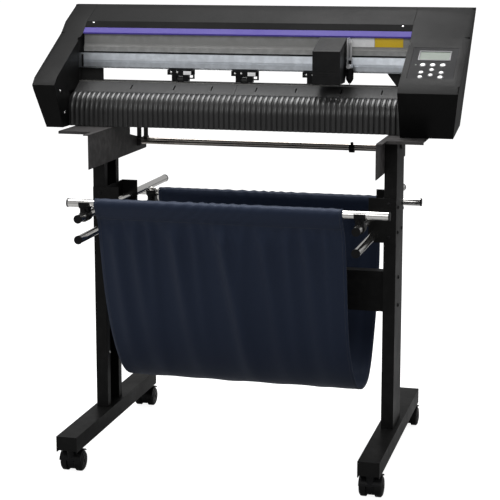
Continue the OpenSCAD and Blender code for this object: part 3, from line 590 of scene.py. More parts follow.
def scatterTree():
    # places one small part on every point, turned to face along the point's own direction
    tree = bpy.data.node_groups.new("placeOnPoints", "GeometryNodeTree")
    for label, kind in (("Points", "NodeSocketGeometry"), ("Part", "NodeSocketObject"),
            ("Size", "NodeSocketFloat"), ("Turn Seed", "NodeSocketInt"), ("Finish", "NodeSocketMaterial")):
        tree.interface.new_socket(name=label, in_out="INPUT", socket_type=kind)
    tree.interface.new_socket(name="Geometry", in_out="OUTPUT", socket_type="NodeSocketGeometry")
    make, link = tree.nodes.new, tree.links.new
    given, out = make("NodeGroupInput"), make("NodeGroupOutput")
    facing = make("GeometryNodeInputNamedAttribute")
    facing.data_type = "FLOAT_VECTOR"
    facing.inputs["Name"].default_value = "facing"
    sizes = make("GeometryNodeInputNamedAttribute")
    sizes.data_type = "FLOAT"
    sizes.inputs["Name"].default_value = "size"
    align = make("FunctionNodeAlignRotationToVector")
    align.axis = "Z"
    link(facing.outputs["Attribute"], align.inputs["Vector"])
    turn = make("FunctionNodeRandomValue")
    turn.data_type = "FLOAT"
    turn.inputs[3].default_value = 3.14159  # the most that a part is turned about its own axis
    link(given.outputs["Turn Seed"], turn.inputs["Seed"])
    about = make("FunctionNodeAxisAngleToRotation")
    about.inputs["Axis"].default_value = (0, 0, 1)
    link(turn.outputs[1], about.inputs["Angle"])
    rotate = make("FunctionNodeRotateRotation")
    rotate.rotation_space = "LOCAL"
    link(align.outputs["Rotation"], rotate.inputs["Rotation"])
    link(about.outputs["Rotation"], rotate.inputs["Rotate By"])
    scale = make("ShaderNodeMath")
    scale.operation = "MULTIPLY"
    link(sizes.outputs["Attribute"], scale.inputs[0])
    link(given.outputs["Size"], scale.inputs[1])
    info = make("GeometryNodeObjectInfo")
    link(given.outputs["Part"], info.inputs["Object"])
    place = make("GeometryNodeInstanceOnPoints")
    link(given.outputs["Points"], place.inputs["Points"])
    link(info.outputs["Geometry"], place.inputs["Instance"])
    link(rotate.outputs["Rotation"], place.inputs["Rotation"])
    link(scale.outputs[0], place.inputs["Scale"])
    real = make("GeometryNodeRealizeInstances")
    link(place.outputs["Instances"], real.inputs["Geometry"])
    paint = make("GeometryNodeSetMaterial")
    link(real.outputs["Geometry"], paint.inputs["Geometry"])
    link(given.outputs["Finish"], paint.inputs["Material"])
    link(paint.outputs["Geometry"], out.inputs["Geometry"])
    return tree


def ribTree():
    # repeats one rib along X at an even pitch
    tree = bpy.data.node_groups.new("repeatRib", "GeometryNodeTree")
    for label, kind in (("Rib", "NodeSocketGeometry"), ("Count", "NodeSocketInt"),
            ("Pitch", "NodeSocketFloat"), ("First", "NodeSocketFloat"), ("Finish", "NodeSocketMaterial")):
        tree.interface.new_socket(name=label, in_out="INPUT", socket_type=kind)
    tree.interface.new_socket(name="Geometry", in_out="OUTPUT", socket_type="NodeSocketGeometry")
    make, link = tree.nodes.new, tree.links.new
    given, out = make("NodeGroupInput"), make("NodeGroupOutput")
    start, step = make("ShaderNodeCombineXYZ"), make("ShaderNodeCombineXYZ")
    link(given.outputs["First"], start.inputs["X"])
    link(given.outputs["Pitch"], step.inputs["X"])
    line = make("GeometryNodeMeshLine")
    line.mode = "OFFSET"
    link(given.outputs["Count"], line.inputs["Count"])
    link(start.outputs[0], line.inputs["Start Location"])
    link(step.outputs[0], line.inputs["Offset"])
    place = make("GeometryNodeInstanceOnPoints")
    link(line.outputs["Mesh"], place.inputs["Points"])
    link(given.outputs["Rib"], place.inputs["Instance"])
    real = make("GeometryNodeRealizeInstances")
    link(place.outputs["Instances"], real.inputs["Geometry"])
    paint = make("GeometryNodeSetMaterial")
    link(real.outputs["Geometry"], paint.inputs["Geometry"])
    link(given.outputs["Finish"], paint.inputs["Material"])
    link(paint.outputs["Geometry"], out.inputs["Geometry"])
    return tree


def grown(name, mesh, tree, values):
    # runs a tree on a mesh and keeps the plain result
    holder = bpy.data.objects.new(name, mesh)
    scene.collection.objects.link(holder)
    modifier = holder.modifiers.new("repeat", "NODES")
    modifier.node_group = tree
    for item in tree.interface.items_tree:
        if item.in_out == "INPUT" and item.name in values:
            modifier[item.identifier] = values[item.name]
    bpy.context.view_layer.update()
    graph = bpy.context.evaluated_depsgraph_get()
    result = bpy.data.meshes.new_from_object(holder.evaluated_get(graph))
    bpy.data.objects.remove(holder)
    result.name = name
    return result


def partObject(name, mesh):
    # a small part for a tree to repeat, which is not itself in the scene
    return bpy.data.objects.new(name, mesh)


def headMesh(recess):
    # a domed screw head with a cross or hex recess, 1 wide and standing along +Z
    line = [(-0.05, 0.5), (0.12, 0.5), (0.24, 0.43), (0.31, 0.3), (0.33, 0.19)]
    sides = 24
    work = bmesh.new()
    rings = []
    for along, radius in line:
        rings.append([work.verts.new((radius * math.cos(2 * math.pi * i / sides),
            radius * math.sin(2 * math.pi * i / sides), along)) for i in range(sides)])
    inner = []
    for i in range(sides):
        a = 2 * math.pi * i / sides
        if recess == "hex":
            reach = 0.17 * math.cos(math.pi / 6) / math.cos((a % (math.pi / 3)) - math.pi / 6)
        else:
            reach = 0.18 if i % 6 in (0, 5) else 0.08
        inner.append(reach)
    for along in (0.32, 0.12):
        rings.append([work.verts.new((inner[i] * math.cos(2 * math.pi * i / sides),
            inner[i] * math.sin(2 * math.pi * i / sides), along)) for i in range(sides)])
    for a, b in zip(rings, rings[1:]):
        for i in range(sides):
            work.faces.new((a[i], a[(i + 1) % sides], b[(i + 1) % sides], b[i]))
    work.faces.new(rings[-1])
    work.faces.new(list(reversed(rings[0])))
    mesh = bpy.data.meshes.new("head_" + recess)
    work.to_mesh(mesh)
    work.free()
    smoothShade(mesh, 40)
    return mesh


def pointsMesh(name, spots):
    # points that each carry a direction and a size
    mesh = bpy.data.meshes.new(name)
    mesh.from_pydata([s[0] for s in spots], [], [])
    mesh.attributes.new("facing", "FLOAT_VECTOR", "POINT")
    mesh.attributes.new("size", "FLOAT", "POINT")
    for i, s in enumerate(spots):
        mesh.attributes["facing"].data[i].vector = s[1]
        mesh.attributes["size"].data[i].value = s[2]
    return mesh


placeOnPoints = scatterTree()
repeatRib = ribTree()
hexHead = partObject("hexHeadPart", headMesh("hex"))
crossHead = partObject("crossHeadPart", headMesh("cross"))
print("trees for repeated parts built")


def screwPiece(name, spots, head, material, body, instead=()):
    mesh = grown(name, pointsMesh(name + "_points", spots), placeOnPoints,
        {"Part": head, "Size": 1.0, "Turn Seed": 7, "Finish": material})
    return newPiece(name, mesh, material, body, instead)


# stand: beams, columns, arms and tubes

standSpec = {"edge": 0.0007, "armEdge": 0.0005, "clampEdge": 0.0012}

for node in ("base_beams", "columns", "cross_panel", "rod_brackets"):
    softened(node, standSpec["edge"])
for node in ("arm_left", "arm_right"):
    softened(node, standSpec["armEdge"])
softened("bar_fittings", standSpec["clampEdge"])

tubeSpec = {
    "radius": 9.5, "bore": 8.0,
    "rods": [(-324, 616, 364), (324, 616, 364), (-324, 567.5, 330), (324, 567.5, 330)],  # x, z, rear end
    "rodFront": -294,
    "bars": [(-245, 645), (256, 596.5)],  # y, z
    "barEnds": (-365, 388),
}


def tubeMesh(name, start, end, radius, bore):
    # a tube with its wall, from one end's middle to the other's
    length = (end - start).length
    edge = 0.0004
    line = [(0.0, bore), (0.0, radius - edge), (edge, radius)]
    line += [(length * i / 8, radius) for i in range(1, 8)]
    line += [(length - edge, radius), (length, radius - edge), (length, bore)]
    axis = (end - start).normalized()
    turn = axis.to_track_quat("Z", "Y").to_matrix()
    rows = [[start + turn @ Vector((r * math.cos(math.pi * i / 24), r * math.sin(math.pi * i / 24), a))
        for i in range(48)] for a, r in line]
    rows.append(rows[0])
    return tidyMesh(gridMesh(name, rows, closed=True), 40)


r, b = tubeSpec["radius"] / 1000, tubeSpec["bore"] / 1000
rodMeshes = [tubeMesh("rod", spot(x, tubeSpec["rodFront"], z), spot(x, rear, z), r, b)
    for x, z, rear in tubeSpec["rods"]]
barMeshes = [tubeMesh("bar", spot(tubeSpec["barEnds"][0], y, z), spot(tubeSpec["barEnds"][1], y, z), r, b)
    for y, z in tubeSpec["bars"]]
newPiece("basket_rods", joinMeshes("basket_rods", rodMeshes), finishes["bright_tube"], "frame",
    ("basket_tubes",))
newPiece("basket_bars", joinMeshes("basket_bars", barMeshes), finishes["bright_bar"], "frame")
print("stand made")

rollSpec = {"ys": (200, 255), "z": 735, "reach": 342.2, "radius": 5.0, "edge": 0.0006, "stopEdge": 0.0012}
for node, y in zip(("roll_bar_front", "roll_bar_rear"), rollSpec["ys"]):
    reach, radius = rollSpec["reach"] / 1000, rollSpec["radius"] / 1000
    edge = rollSpec["edge"]
    line = [(0, radius - edge), (edge, radius)] + [(2 * reach * i / 8, radius) for i in range(1, 8)]
    line += [(2 * reach - edge, radius), (2 * reach, radius - edge)]
    mesh = turnedMesh(node + "_bar", line, spot(-rollSpec["reach"], y, rollSpec["z"]), (1, 0, 0), 36)
    newPiece(node + "_turned", mesh, finishes["roll_steel"], nodes[node]["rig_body"], (node,))
softened("roll_stop", rollSpec["stopEdge"])

# casters: rounded forks and wheels, with a ring and pin on each outer hub
casterSpec = {"edge": 0.0011, "wheelEdge": 0.0016, "hubRadius": 14.0}
for end in ("front", "rear"):
    for side in ("left", "right"):
        softened(f"caster_{end}_{side}", casterSpec["edge"])
        softened(f"wheels_{end}_{side}", casterSpec["wheelEdge"], segments=3)
        low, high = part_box(f"wheels_{end}_{side}")
        middle = (low + high) / 2
        hubs = []
        for way in (-1, 1):
            outer = Vector((high.x if way > 0 else low.x, middle.y, middle.z))
            r = casterSpec["hubRadius"] / 1000
            ring = [(-0.001, r), (0.0006, r), (0.0010, r - 0.0008), (0.0006, r - 0.003)]
            pin = [(0.0006, 0.0045), (0.0016, 0.0040), (0.0018, 0.0030)]
            hubs.append(turnedMesh("hub", ring + pin, outer, (way, 0, 0), 32))
        newPiece(f"hubs_{end}_{side}", joinMeshes("hubs", hubs), finishes["wheel_plastic"],
            nodes[f"wheels_{end}_{side}"]["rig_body"])
print("roll bars and casters made")

# basket cloth: one sheet with a sleeve round each bar

clothSpec = {
    "left": -301, "right": 285,
    "frontBar": (-245, 645), "rearBar": (256, 596.5),
    "sleeve": 10.9,  # radius of the cloth round a bar
    "hem": 42.0,  # height of the sleeve down to its seam
    "frontLine": [(-245, 633.5), (-141, 273), (-105, 163), (82, 163)],
    "rearLine": [(82, 163), (205, 163), (248, 330), (256, 585)],
    "step": 6.5, "thickness": 0.0013,
    "tuck": (1.6, 1.8),  # how far the front and rear inner seams lie behind the panel
    "foldHeight": 3.4,  # strength of all the folds
    "frontShare": 0.46,  # share of the panel that hangs in front of the bottom
    # folds: place at the top, sideways drift towards the bottom, half width, height, all in millimetres
    "folds": [(-262, 14, 13, 2.6), (-214, 26, 16, 3.4), (-172, -10, 12, 2.6), (-118, 34, 17, 5.0),
        (-66, 8, 15, 2.6), (-2, 52, 17, 6.2), (44, -22, 14, 2.4), (96, 36, 16, 4.4), (150, 12, 14, 3.0),
        (196, 34, 17, 4.6), (244, 10, 13, 3.0)],
}


def curvePoint(p, t):
    return tuple(p[0][i] * (1 - t) ** 3 + 3 * p[1][i] * t * (1 - t) ** 2 + 3 * p[2][i] * t * t * (1 - t)
        + p[3][i] * t ** 3 for i in (0, 1))


def evenLine(points, step):
    # the same line with even spacing
    lengths = [0.0]
    for a, b in zip(points, points[1:]):
        lengths.append(lengths[-1] + math.dist(a, b))
    count = max(2, round(lengths[-1] / step))
    result, k = [], 0
    for i in range(count + 1):
        want = lengths[-1] * i / count
        while k < len(lengths) - 2 and lengths[k + 1] < want:
            k += 1
        share = (want - lengths[k]) / max(1e-9, lengths[k + 1] - lengths[k])
        result.append(tuple(points[k][j] + share * (points[k + 1][j] - points[k][j]) for j in (0, 1)))
    return result, lengths[-1]


def clothLine(spec):
    # inner seam, over the front bar, down the front, along the bottom, up and over the rear bar
    r, fb, rb = spec["sleeve"], spec["frontBar"], spec["rearBar"]
    front = [curvePoint(spec["frontLine"], i / 90) for i in range(91)]
    rear = [curvePoint(spec["rearLine"], i / 90) for i in range(91)]
    seamZ = fb[1] + r - spec["hem"]
    front = [p for p in front if p[1] <= seamZ]
    rearSeamZ = rb[1] + r - spec["hem"]
    rear = [p for p in rear if p[1] <= rearSeamZ]
    over = [(fb[0] + r * math.cos(math.radians(a)), fb[1] + r * math.sin(math.radians(a)))
        for a in range(-18, 199, 6)]
    start = (front[0][0] + spec["tuck"][0], front[0][1])
    overRear = [(rb[0] + r * math.cos(math.radians(a)), rb[1] + r * math.sin(math.radians(a)))
        for a in range(198, -19, -6)]
    finish = (rear[-1][0] + spec["tuck"][1], rear[-1][1])
    return [start] + over, front, rear, overRear + [finish]


def bell(value):
    return math.exp(-value * value)


def clothOffset(x, below, length, spec):
    # how far the front or rear panel stands out at x, a distance below its seam
    t = below / length
    grow = min(1.0, below / 45.0)
    fade = max(0.0, 1.0 - t) ** 0.7
    out = 0.0
    for place, drift, width, height in spec["folds"]:
        crest = bell((x - place - drift * t) / (width * (0.8 + 0.7 * t)))
        out += spec["foldHeight"] * height * crest * grow * fade
    near = bell((below - 14.0) / 38.0) * min(1.0, below / 8.0)
    gather = math.sin(x / 4.6 + 2.4 * math.sin(x / 41.0)) * 1.7 * near
    wide = 3.0 * math.sin(x / 52.0 + 1.1) * fade * grow
    return out + gather + wide - 5.0 * min(1.0, below / 12.0) * max(0.0, 1.0 - t)


def makeCloth(spec):
    # rows of points along the line and across the width, each moved out or in by the folds
    top, front, rear, back = clothLine(spec)
    line, whole = evenLine(top + front + rear[1:] + back, spec["step"])
    down = [0.0]
    for a, b in zip(line, line[1:]):
        down.append(down[-1] + math.dist(a, b))
    frontSeam = evenLine(top + front[:1], 3.0)[1]
    rearSeam = whole - evenLine(rear[-1:] + back, 3.0)[1]
    drop = rearSeam - frontSeam
    columns = round((spec["right"] - spec["left"]) / spec["step"])
    rows, uvs = [], []
    for i, (y, z) in enumerate(line):
        a, b = line[max(0, i - 1)], line[min(len(line) - 1, i + 1)]
        size = math.dist(a, b)
        normal = ((b[1] - a[1]) / size, -(b[0] - a[0]) / size)
        row = []
        for j in range(columns + 1):
            x = spec["left"] + (spec["right"] - spec["left"]) * j / columns
            s = down[i]
            if frontSeam < s < rearSeam:
                below = s - frontSeam
                if below < drop * spec["frontShare"]:
                    out = clothOffset(x, below, drop * spec["frontShare"], spec)
                else:
                    up = rearSeam - s
                    out = 0.7 * clothOffset(-x, up, drop * (1 - spec["frontShare"]), spec)
            else:
                # slanting gathers where the sleeve is drawn on its bar
                near = min(abs(s - frontSeam), abs(s - rearSeam))
                slant = math.sin((x + 1.1 * s) / 4.6 + 1.9 * math.sin(x / 33.0)) * 1.5
                slant *= 0.6 + 0.4 * math.sin(x / 61.0 + 2.0)
                bulge = 2.2 * min(1.0, near / 9.0)
                out = max(-0.4, slant + bulge - 0.8) * min(1.0, near / 6.0)
                out = -out if s > rearSeam else out
            # the sewn front seam pulls the cloth in
            out -= 1.6 * bell((s - frontSeam) / 3.5)
            # side edges wander a little and turn in where the basket is deep
            edge = abs(2 * j / columns - 1) ** 12
            wander = 2.0 * math.sin(s / 70.0 + (0 if j < columns / 2 else 2)) * edge
            px = x + wander * (1 if j < columns / 2 else -1)
            row.append(spot(px, y + normal[0] * out, z + normal[1] * out))
            uvs.append(((x - spec["left"]) / 1000, s / 1000))
        rows.append(row)
    mesh = gridMesh("cloth", rows, uvs=uvs)
    mesh.polygons.foreach_set("use_smooth", [True] * len(mesh.polygons))
    cloth = newPiece("basket_sheet", mesh, finishes["cloth_navy"], "frame", ("basket_cloth",))
    wall = cloth.modifiers.new("cloth wall", "SOLIDIFY")
    wall.thickness = spec["thickness"]
    wall.offset = 0
    area = sum(p.area for p in mesh.polygons)
    width = (spec["right"] - spec["left"]) / 1000
    print("cloth: flat", round(width, 3), "x", round(area / width, 3), "m, area", round(area, 3))
    return cloth, rows, down, frontSeam, rearSeam, (width, area / width)


cloth, clothRows, clothDown, frontSeam, rearSeam, clothFlat = makeCloth(clothSpec)

stitchSpec = {"pitch": 0.0048, "length": 0.0032, "thick": 0.0007, "proud": 0.0009}


def stitchPart(spec):
    # one short thread lying along its facing direction
    rows = []
    for along, share in ((-0.5, 0.12), (-0.42, 0.42), (-0.2, 0.5), (0.2, 0.5), (0.42, 0.42), (0.5, 0.12)):
        radius = share * spec["thick"]
        rows.append([Vector((radius * math.cos(math.pi * i / 3), radius * math.sin(math.pi * i / 3),
            along * spec["length"])) for i in range(6)])
    return partObject("stitchPart", tidyMesh(gridMesh("stitch", rows, closed=True), 60))


def rowAt(distance):
    return min(range(len(clothDown)), key=lambda i: abs(clothDown[i] - distance))


def stitchSpots(path, normalOf, spec):
    # even steps along a path on the cloth
    spots, carry = [], 0.0
    for k, (a, b) in enumerate(zip(path, path[1:])):
        size = (b - a).length
        while carry < size:
            spots.append((a.lerp(b, carry / size) + normalOf(k) * spec["proud"], (b - a).normalized(), 1.0))
            carry += spec["pitch"]
        carry -= size
    return spots


def clothNormal(i, j):
    i, j = max(1, min(len(clothRows) - 2, i)), max(1, min(len(clothRows[0]) - 2, j))
    alongX = clothRows[i][j + 1] - clothRows[i][j - 1]
    alongS = clothRows[i + 1][j] - clothRows[i - 1][j]
    return alongX.cross(alongS).normalized()


spots = []
for seam, lift in ((frontSeam, 3.0), (rearSeam, -3.0)):
    i = rowAt(seam + lift)
    for way in (-1, 1):
        spots += stitchSpots(clothRows[i], lambda k: clothNormal(i, k) * way, stitchSpec)
for j in (1, len(clothRows[0]) - 2):
    path = [row[j] for row in clothRows]
    for way in (-1, 1):
        spots += stitchSpots(path, lambda k: clothNormal(k, j) * way, stitchSpec)
stitchMesh = grown("basket_stitches", pointsMesh("stitch_points", spots), placeOnPoints,
    {"Part": stitchPart(stitchSpec), "Size": 1.0, "Turn Seed": 3, "Finish": finishes["thread_dark"]})
stitches = newPiece("basket_stitches", stitchMesh, finishes["thread_dark"], "frame")
print("basket cloth made with", len(spots), "stitches")

# housing: covers, aprons and plates

housingSpec = {"coverEdge": 0.0022, "topEdge": 0.0016, "stripEdge": 0.0004, "plateEdge": 0.0005}

for node in ("end_cover_left", "end_cover_right"):
    softened(node, housingSpec["coverEdge"], segments=3)
softened("top_cover", housingSpec["topEdge"], segments=3)
for node in ("fascia_band", "accent_strip"):
    softened(node, housingSpec["stripEdge"])
for node in ("inner_cover", "base_tray", "platen", "panel_plate", "power_inlet"):
    softened(node, housingSpec["plateEdge"])

apronSpec = {
    "panels": [("apron_left", -457, -44.6, (-313, -202, -106)),
        ("apron_right", -44, 376, (7, 106, 218, 317))],  # name, left, right, middles of its slots
    "stripBack": (84, 899.2), "stripFront": (45, 878),
    "turnCentre": (49, 834), "turnRadius": 44, "low": 796,
    "thickness": 2.2, "ribCount": 32, "ribWidth": 0.8, "ribHeight": 2.4,
    "ribSection": [(-1, -0.4), (-0.97, 0.1), (-0.82, 0.55), (-0.5, 0.87), (0, 1.0), (0.5, 0.87),
        (0.82, 0.55), (0.97, 0.1), (1, -0.4)],  # shares of the rib's half width and height
    "slot": (58, 74, 3.0),  # front, back, width
}


def apronLine(spec):
    # the turn over the front edge, then straight down
    cy, cz, r = *spec["turnCentre"], spec["turnRadius"]
    angles = [math.radians(a) for a in range(95, 181, 5)]
    line = [(cy + r * math.cos(a), cz + r * math.sin(a)) for a in angles]
    return line + [(cy - r, z) for z in (828, 820, 812, 804, spec["low"])]


def makeApron(node, x0, x1, slots, spec):
    # a bent shell with open slots in its flat strip, and a row of ribs
    curve = apronLine(spec)
    back, front = spec["stripBack"], spec["stripFront"]
    y0, y1, slotWidth = spec["slot"]
    lineY = [back[0], y1, y0, front[0]]
    strip = [(y, front[1] + (back[1] - front[1]) * (y - front[0]) / (back[0] - front[0])) for y in lineY]
    xs = sorted([x0, x1] + [s + d for s in slots for d in (-slotWidth / 2, slotWidth / 2)])
    work = bmesh.new()
    grid = [[work.verts.new(spot(x, y, z)) for x in xs] for y, z in strip + curve]
    for i in range(len(grid) - 1):
        for j in range(len(xs) - 1):
            if i == 1 and j % 2 == 1:
                continue  # an open slot
            work.faces.new((grid[i][j], grid[i + 1][j], grid[i + 1][j + 1], grid[i][j + 1]))
    bmesh.ops.recalc_face_normals(work, faces=work.faces)
    mesh = bpy.data.meshes.new(node + "_shell")
    work.to_mesh(mesh)
    work.free()
    if mesh.polygons[0].normal.z < 0:
        mesh.flip_normals()
    smoothShade(mesh, 25)
    shell = newPiece(node + "_shell", mesh, finishes["strip_grey"], "frame", (node,))
    wall = shell.modifiers.new("wall", "SOLIDIFY")
    wall.thickness = spec["thickness"] / 1000
    wall.offset = -1
    addBevel(shell, 0.0004)
    pitch = (x1 - x0) / spec["ribCount"]
    # one rib: a rounded bar that follows the turn and drop of the apron
    rows = []
    for i, (y, z) in enumerate(curve):
        a = curve[max(0, i - 1)]
        b = curve[min(len(curve) - 1, i + 1)]
        size = math.dist(a, b)
        out = ((b[1] - a[1]) / size, -(b[0] - a[0]) / size)
        rise = spec["ribHeight"] * min(1.0, 0.1 + i / 3.0)
        half = pitch * spec["ribWidth"] / 2
        row = []
        for u, h in spec["ribSection"]:
            step = h * rise if h > 0 else h
            row.append(spot(u * half, y + out[0] * step, z + out[1] * step))
        rows.append(row)
    rib = gridMesh("rib", rows, closed=True)
    edit = bmesh.new()
    edit.from_mesh(rib)
    edit.verts.ensure_lookup_table()
    count = len(rows[0])
    edit.faces.new(edit.verts[:count])
    edit.faces.new(edit.verts[-count:])
    bmesh.ops.recalc_face_normals(edit, faces=edit.faces)
    edit.to_mesh(rib)
    edit.free()
    smoothShade(rib, 50)
    ribs = grown(node + "_ribs", rib, repeatRib, {"Count": spec["ribCount"], "Pitch": pitch / 1000,
        "First": (x0 + pitch / 2) / 1000, "Finish": finishes["apron_black"]})
    newPiece(node + "_ribs", ribs, finishes["apron_black"], "frame")


for panel in apronSpec["panels"]:
    makeApron(*panel, apronSpec)
print("covers and aprons made")

# blank plates stand where the maker puts a notice and a diagram
plateSpec = {
    "plates": [("notice_plate", 288, 357, "plate_yellow"), ("diagram_plate", 226, 287, "plate_white")],
    "low": 993.5, "high": 1020.0, "front": 125.3, "back": 125.97, "edge": 0.0002}
for name, x0, x1, material in plateSpec["plates"]:
    mesh = blockMesh(name, spot(x0, plateSpec["front"], plateSpec["low"]),
        spot(x1, plateSpec["back"], plateSpec["high"]), plateSpec["edge"])
    newPiece(name, mesh, finishes[material], "frame")

# small stops at both ends of the guide rail, just past the carriage's travel
railSpec = {"stops": ((-457.6, 5), (366, 8)), "front": 100.5, "back": 104.8, "low": 934, "high": 966,
    "edge": 0.0012}
for i, (x, width) in enumerate(railSpec["stops"]):
    mesh = blockMesh("stop", spot(x, railSpec["front"], railSpec["low"]),
        spot(x + width, railSpec["back"], railSpec["high"]), railSpec["edge"])
    newPiece(f"rail_stop_{i}", mesh, finishes["black_plastic"], "frame")

# control panel on the slope of the right cover

panelSpec = {"lip": (-68, 921.4), "brow": (118, 1020.5), "lcd": (410, 109, 70, 35.5), "rim": 3.2,
    "rimSize": (-0.6, 0.7, 0.0003),  # bottom, top and edge of the display's rim
    "keyEdge": 0.0005,
    # each key: x, distance up the slope, width
    "keys": [(421.5, 86, 11.6), (444.8, 86, 11.6), (468.2, 86, 11.6), (444.8, 65.3, 9.6), (421.5, 53.8, 10.0),
        (468.2, 53.8, 10.0), (444.8, 42.8, 9.6), (421.5, 34.3, 9.6), (468.2, 34.3, 11.0)]}
slopeRise = panelSpec["brow"][1] - panelSpec["lip"][1]
slopeRun = panelSpec["brow"][0] - panelSpec["lip"][0]
slopeAngle = math.atan2(slopeRise, slopeRun)


def onSlope(x, s, n):
    # s is the distance up the slope from its lip, n the height above it
    y = panelSpec["lip"][0] + s * math.cos(slopeAngle) - n * math.sin(slopeAngle)
    z = panelSpec["lip"][1] + s * math.sin(slopeAngle) + n * math.cos(slopeAngle)
    return spot(x, y, z)


def slopeBlock(name, x0, x1, s0, s1, n0, n1, width):
    mesh = blockMesh(name, (x0 / 1000, s0 / 1000, n0 / 1000), (x1 / 1000, s1 / 1000, n1 / 1000), width)
    origin = onSlope(0, 0, 0)
    mesh.transform(Matrix.Translation(origin) @ Matrix.Rotation(slopeAngle, 4, "X"))
    return mesh


lcdLeft, lcdLow, lcdWide, lcdTall = panelSpec["lcd"]
lcdRight, lcdTop, rim = lcdLeft + lcdWide, lcdLow + lcdTall, panelSpec["rim"]
frameBars = [slopeBlock("bezel", *sides, *panelSpec["rimSize"]) for sides in (
    (lcdLeft - rim, lcdRight + rim, lcdLow - rim, lcdLow),
    (lcdLeft - rim, lcdRight + rim, lcdTop, lcdTop + rim),
    (lcdLeft - rim, lcdLeft, lcdLow, lcdTop),
    (lcdRight, lcdRight + rim, lcdLow, lcdTop))]
newPiece("display_bezel", joinMeshes("display_bezel", frameBars), finishes["bezel_grey"], "frame")
slopeNormal = Vector((0, -math.sin(slopeAngle), math.cos(slopeAngle)))
rings = []
for x, s, d in panelSpec["keys"]:
    r = d / 2000
    rings.append(turnedMesh("ring", [(-0.0002, r + 0.0006), (0.0004, r + 0.0007), (0.0006, r + 0.0011),
        (0.0004, r + 0.0019), (-0.0003, r + 0.0022)], onSlope(x, s, -0.4), slopeNormal, 32))
for ring in rings:
    # the ring is open in the middle, where its key moves
    edit = bmesh.new()
    edit.from_mesh(ring)
    wide = [f for f in edit.faces if len(f.verts) > 8]
    bmesh.ops.delete(edit, geom=wide, context="FACES")
    edit.to_mesh(ring)
    edit.free()
newPiece("key_rings", joinMeshes("key_rings", rings), finishes["bezel_grey"], "frame")
for key in ("f1", "f2", "f3", "up", "left", "right", "down", "end", "enter"):
    softened("key_" + key, panelSpec["keyEdge"], segments=3)
print("control panel made")

# carriage, blade holder and pinch rollers

carriageSpec = {"edge": 0.0018, "plateEdge": 0.0005, "gripHeights": (930, 936, 942), "gripTall": 1.6,
    "gripSides": (165.5, 216.5), "gripDepth": (11.1, 12.4), "gripEdge": 0.0004}
softened("carriage_cover", carriageSpec["edge"], segments=3)
softened("carriage_body", carriageSpec["plateEdge"])
softened("tool_mount", carriageSpec["plateEdge"])
gripLeft, gripRight = carriageSpec["gripSides"]
gripFront, gripBack = carriageSpec["gripDepth"]
carriageBody = nodes["carriage_cover"]["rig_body"]
# three grip lines on the front of the carriage cover
grips = [blockMesh("grip", spot(gripLeft, gripFront, z),
    spot(gripRight, gripBack, z + carriageSpec["gripTall"]), carriageSpec["gripEdge"])
    for z in carriageSpec["gripHeights"]]
newPiece("carriage_grips", joinMeshes("carriage_grips", grips), finishes["carriage_grey"], carriageBody)

# blade holder: a knurled grip made of small ridges round its barrel
holderSpec = {"radius": 8.7, "ridges": 28, "centre": (234, 88), "edge": 0.0005, "gripFrom": 14}
toolBody = nodes["blade_holder"]["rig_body"]
softened("blade_holder", holderSpec["edge"])
ridge = blockMesh("ridge", (-0.0005, -0.0004, 0), (0.0005, 0.0004, 0.022), 0.00015, 1)
cx, cy = holderSpec["centre"]
ringSpots = []
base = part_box("blade_holder")[0].z * 1000 + holderSpec["gripFrom"]
reach = holderSpec["radius"]
for i in range(holderSpec["ridges"]):
    a = 2 * math.pi * i / holderSpec["ridges"]
    ringSpots.append((spot(cx + reach * math.cos(a), cy + reach * math.sin(a), base), (0, 0, 1), 1.0))
knurl = grown("blade_holder_knurl", pointsMesh("knurl_points", ringSpots), placeOnPoints,
    {"Part": partObject("ridgePart", ridge), "Size": 1.0, "Turn Seed": 5,
        "Finish": finishes["black_plastic"]})
newPiece("blade_holder_knurl", knurl, finishes["black_plastic"], toolBody)

# pinch rollers: each arm has two screws and a pale tab on its front
pinchSpec = {"xs": {"left": -0.199, "middle": -0.034, "right": 0.146}, "armEdge": 0.0007, "wheelEdge": 0.0008,
    "screwsAt": (-0.022, -0.006), "screwSize": 0.0058, "screwDrop": 0.0065,
    "tabSides": (0.010, 0.030), "tabDrops": (0.012, 0.003)}
for name, x in pinchSpec["xs"].items():
    arm = "pinch_arm_" + name
    softened(arm, pinchSpec["armEdge"])
    body = nodes[arm]["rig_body"]
    low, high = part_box(arm)
    heads = [(Vector((x + d, low.y + 0.0001, high.z - pinchSpec["screwDrop"])), (0, -1, 0),
        pinchSpec["screwSize"]) for d in pinchSpec["screwsAt"]]
    screwPiece(arm + "_screws", heads, crossHead, finishes["zinc_screw"], body)
    tabLow, tabHigh = [high.z - drop for drop in pinchSpec["tabDrops"]]
    tabLeft, tabRight = [x + side for side in pinchSpec["tabSides"]]
    tab = blockMesh("tab", (tabLeft, low.y - 0.0012, tabLow), (tabRight, low.y + 0.0005, tabHigh), 0.0004)
    newPiece(arm + "_tab", tab, finishes["plate_white"], body)
    softened("pinch_wheel_" + name, pinchSpec["wheelEdge"], segments=3)

# screws of the stand and covers, and washers above the casters

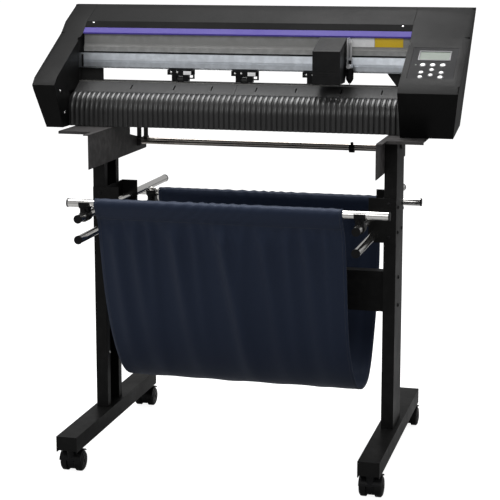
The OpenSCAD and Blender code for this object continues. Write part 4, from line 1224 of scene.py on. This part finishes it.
screwSpec = {
    "columnFront": -55.8, "columnSide": 374.75,
    "bracketFace": [(358, 562), (358, 640)],  # x, z, on both sides of the stand
    "panelHeads": [(-9, 390), (-9, 458)],  # y, z
    "bracketHeads": [(-31, 630), (-31, 570), (31, 630), (31, 570)],  # y, z
    "rearHeads": (-400, -200, 0, 200, 340), "rearFace": 250, "rearHeight": 815,
    "fasciaHeads": (-438.5, 353), "fasciaFoot": (118, 1020.5), "fasciaRise": (31, 26.8), "fasciaShare": 0.84,
    "brightHeads": [(-458, -48, 886), (-458, -21, 830), (-345.2, -34, 233)],
}
fasciaRun, fasciaUp = screwSpec["fasciaRise"]
fasciaAngle = math.atan2(fasciaUp, fasciaRun)
fasciaNormal = (0, -math.sin(fasciaAngle), math.cos(fasciaAngle))
fasciaY = screwSpec["fasciaFoot"][0] + screwSpec["fasciaShare"] * fasciaRun
fasciaZ = screwSpec["fasciaFoot"][1] + screwSpec["fasciaShare"] * fasciaUp + 0.1
darkHeads = []
for side in (-1, 1):
    for x, z in screwSpec["bracketFace"]:
        darkHeads.append((spot(side * x, screwSpec["columnFront"], z), (0, -1, 0), 0.0088))
    for y, z in screwSpec["panelHeads"]:
        darkHeads.append((spot(side * screwSpec["columnSide"], y, z), (side, 0, 0), 0.0095))
    for y, z in screwSpec["bracketHeads"]:
        darkHeads.append((spot(side * screwSpec["columnSide"], y, z), (side, 0, 0), 0.0088))
for x in screwSpec["rearHeads"]:
    darkHeads.append((spot(x, screwSpec["rearFace"], screwSpec["rearHeight"]), (0, 1, 0), 0.0062))
brightHeads = [(spot(x, fasciaY, fasciaZ), fasciaNormal, 0.0056) for x in screwSpec["fasciaHeads"]]
brightHeads += [(spot(*place), (1, 0, 0), 0.0062) for place in screwSpec["brightHeads"]]
screwPiece("dark_screws", darkHeads, hexHead, finishes["black_plastic"], "frame", ("screws",))
screwPiece("bright_screws", brightHeads, crossHead, finishes["zinc_screw"], "frame")

washerSpec = {"line": [(-0.0002, 0.012), (0.0012, 0.012), (0.0014, 0.0116), (0.0014, 0.0045)],
    "x": 360, "y": 275, "z": 56.0}
washers = [turnedMesh("washer", washerSpec["line"], spot(sx * washerSpec["x"], sy * washerSpec["y"],
    washerSpec["z"]), (0, 0, 1), 32) for sx in (-1, 1) for sy in (-1, 1)]
newPiece("caster_washers", joinMeshes("caster_washers", washers), finishes["zinc_screw"], "frame")
print("screws placed")

# the small parts that the trees repeated are not pieces
for piece in [o for o in bpy.data.objects if o.name.endswith("Part")]:
    bpy.data.objects.remove(piece)
low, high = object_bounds()
print("box of the finished object:", [round(v, 4) for v in (*low, *high)])
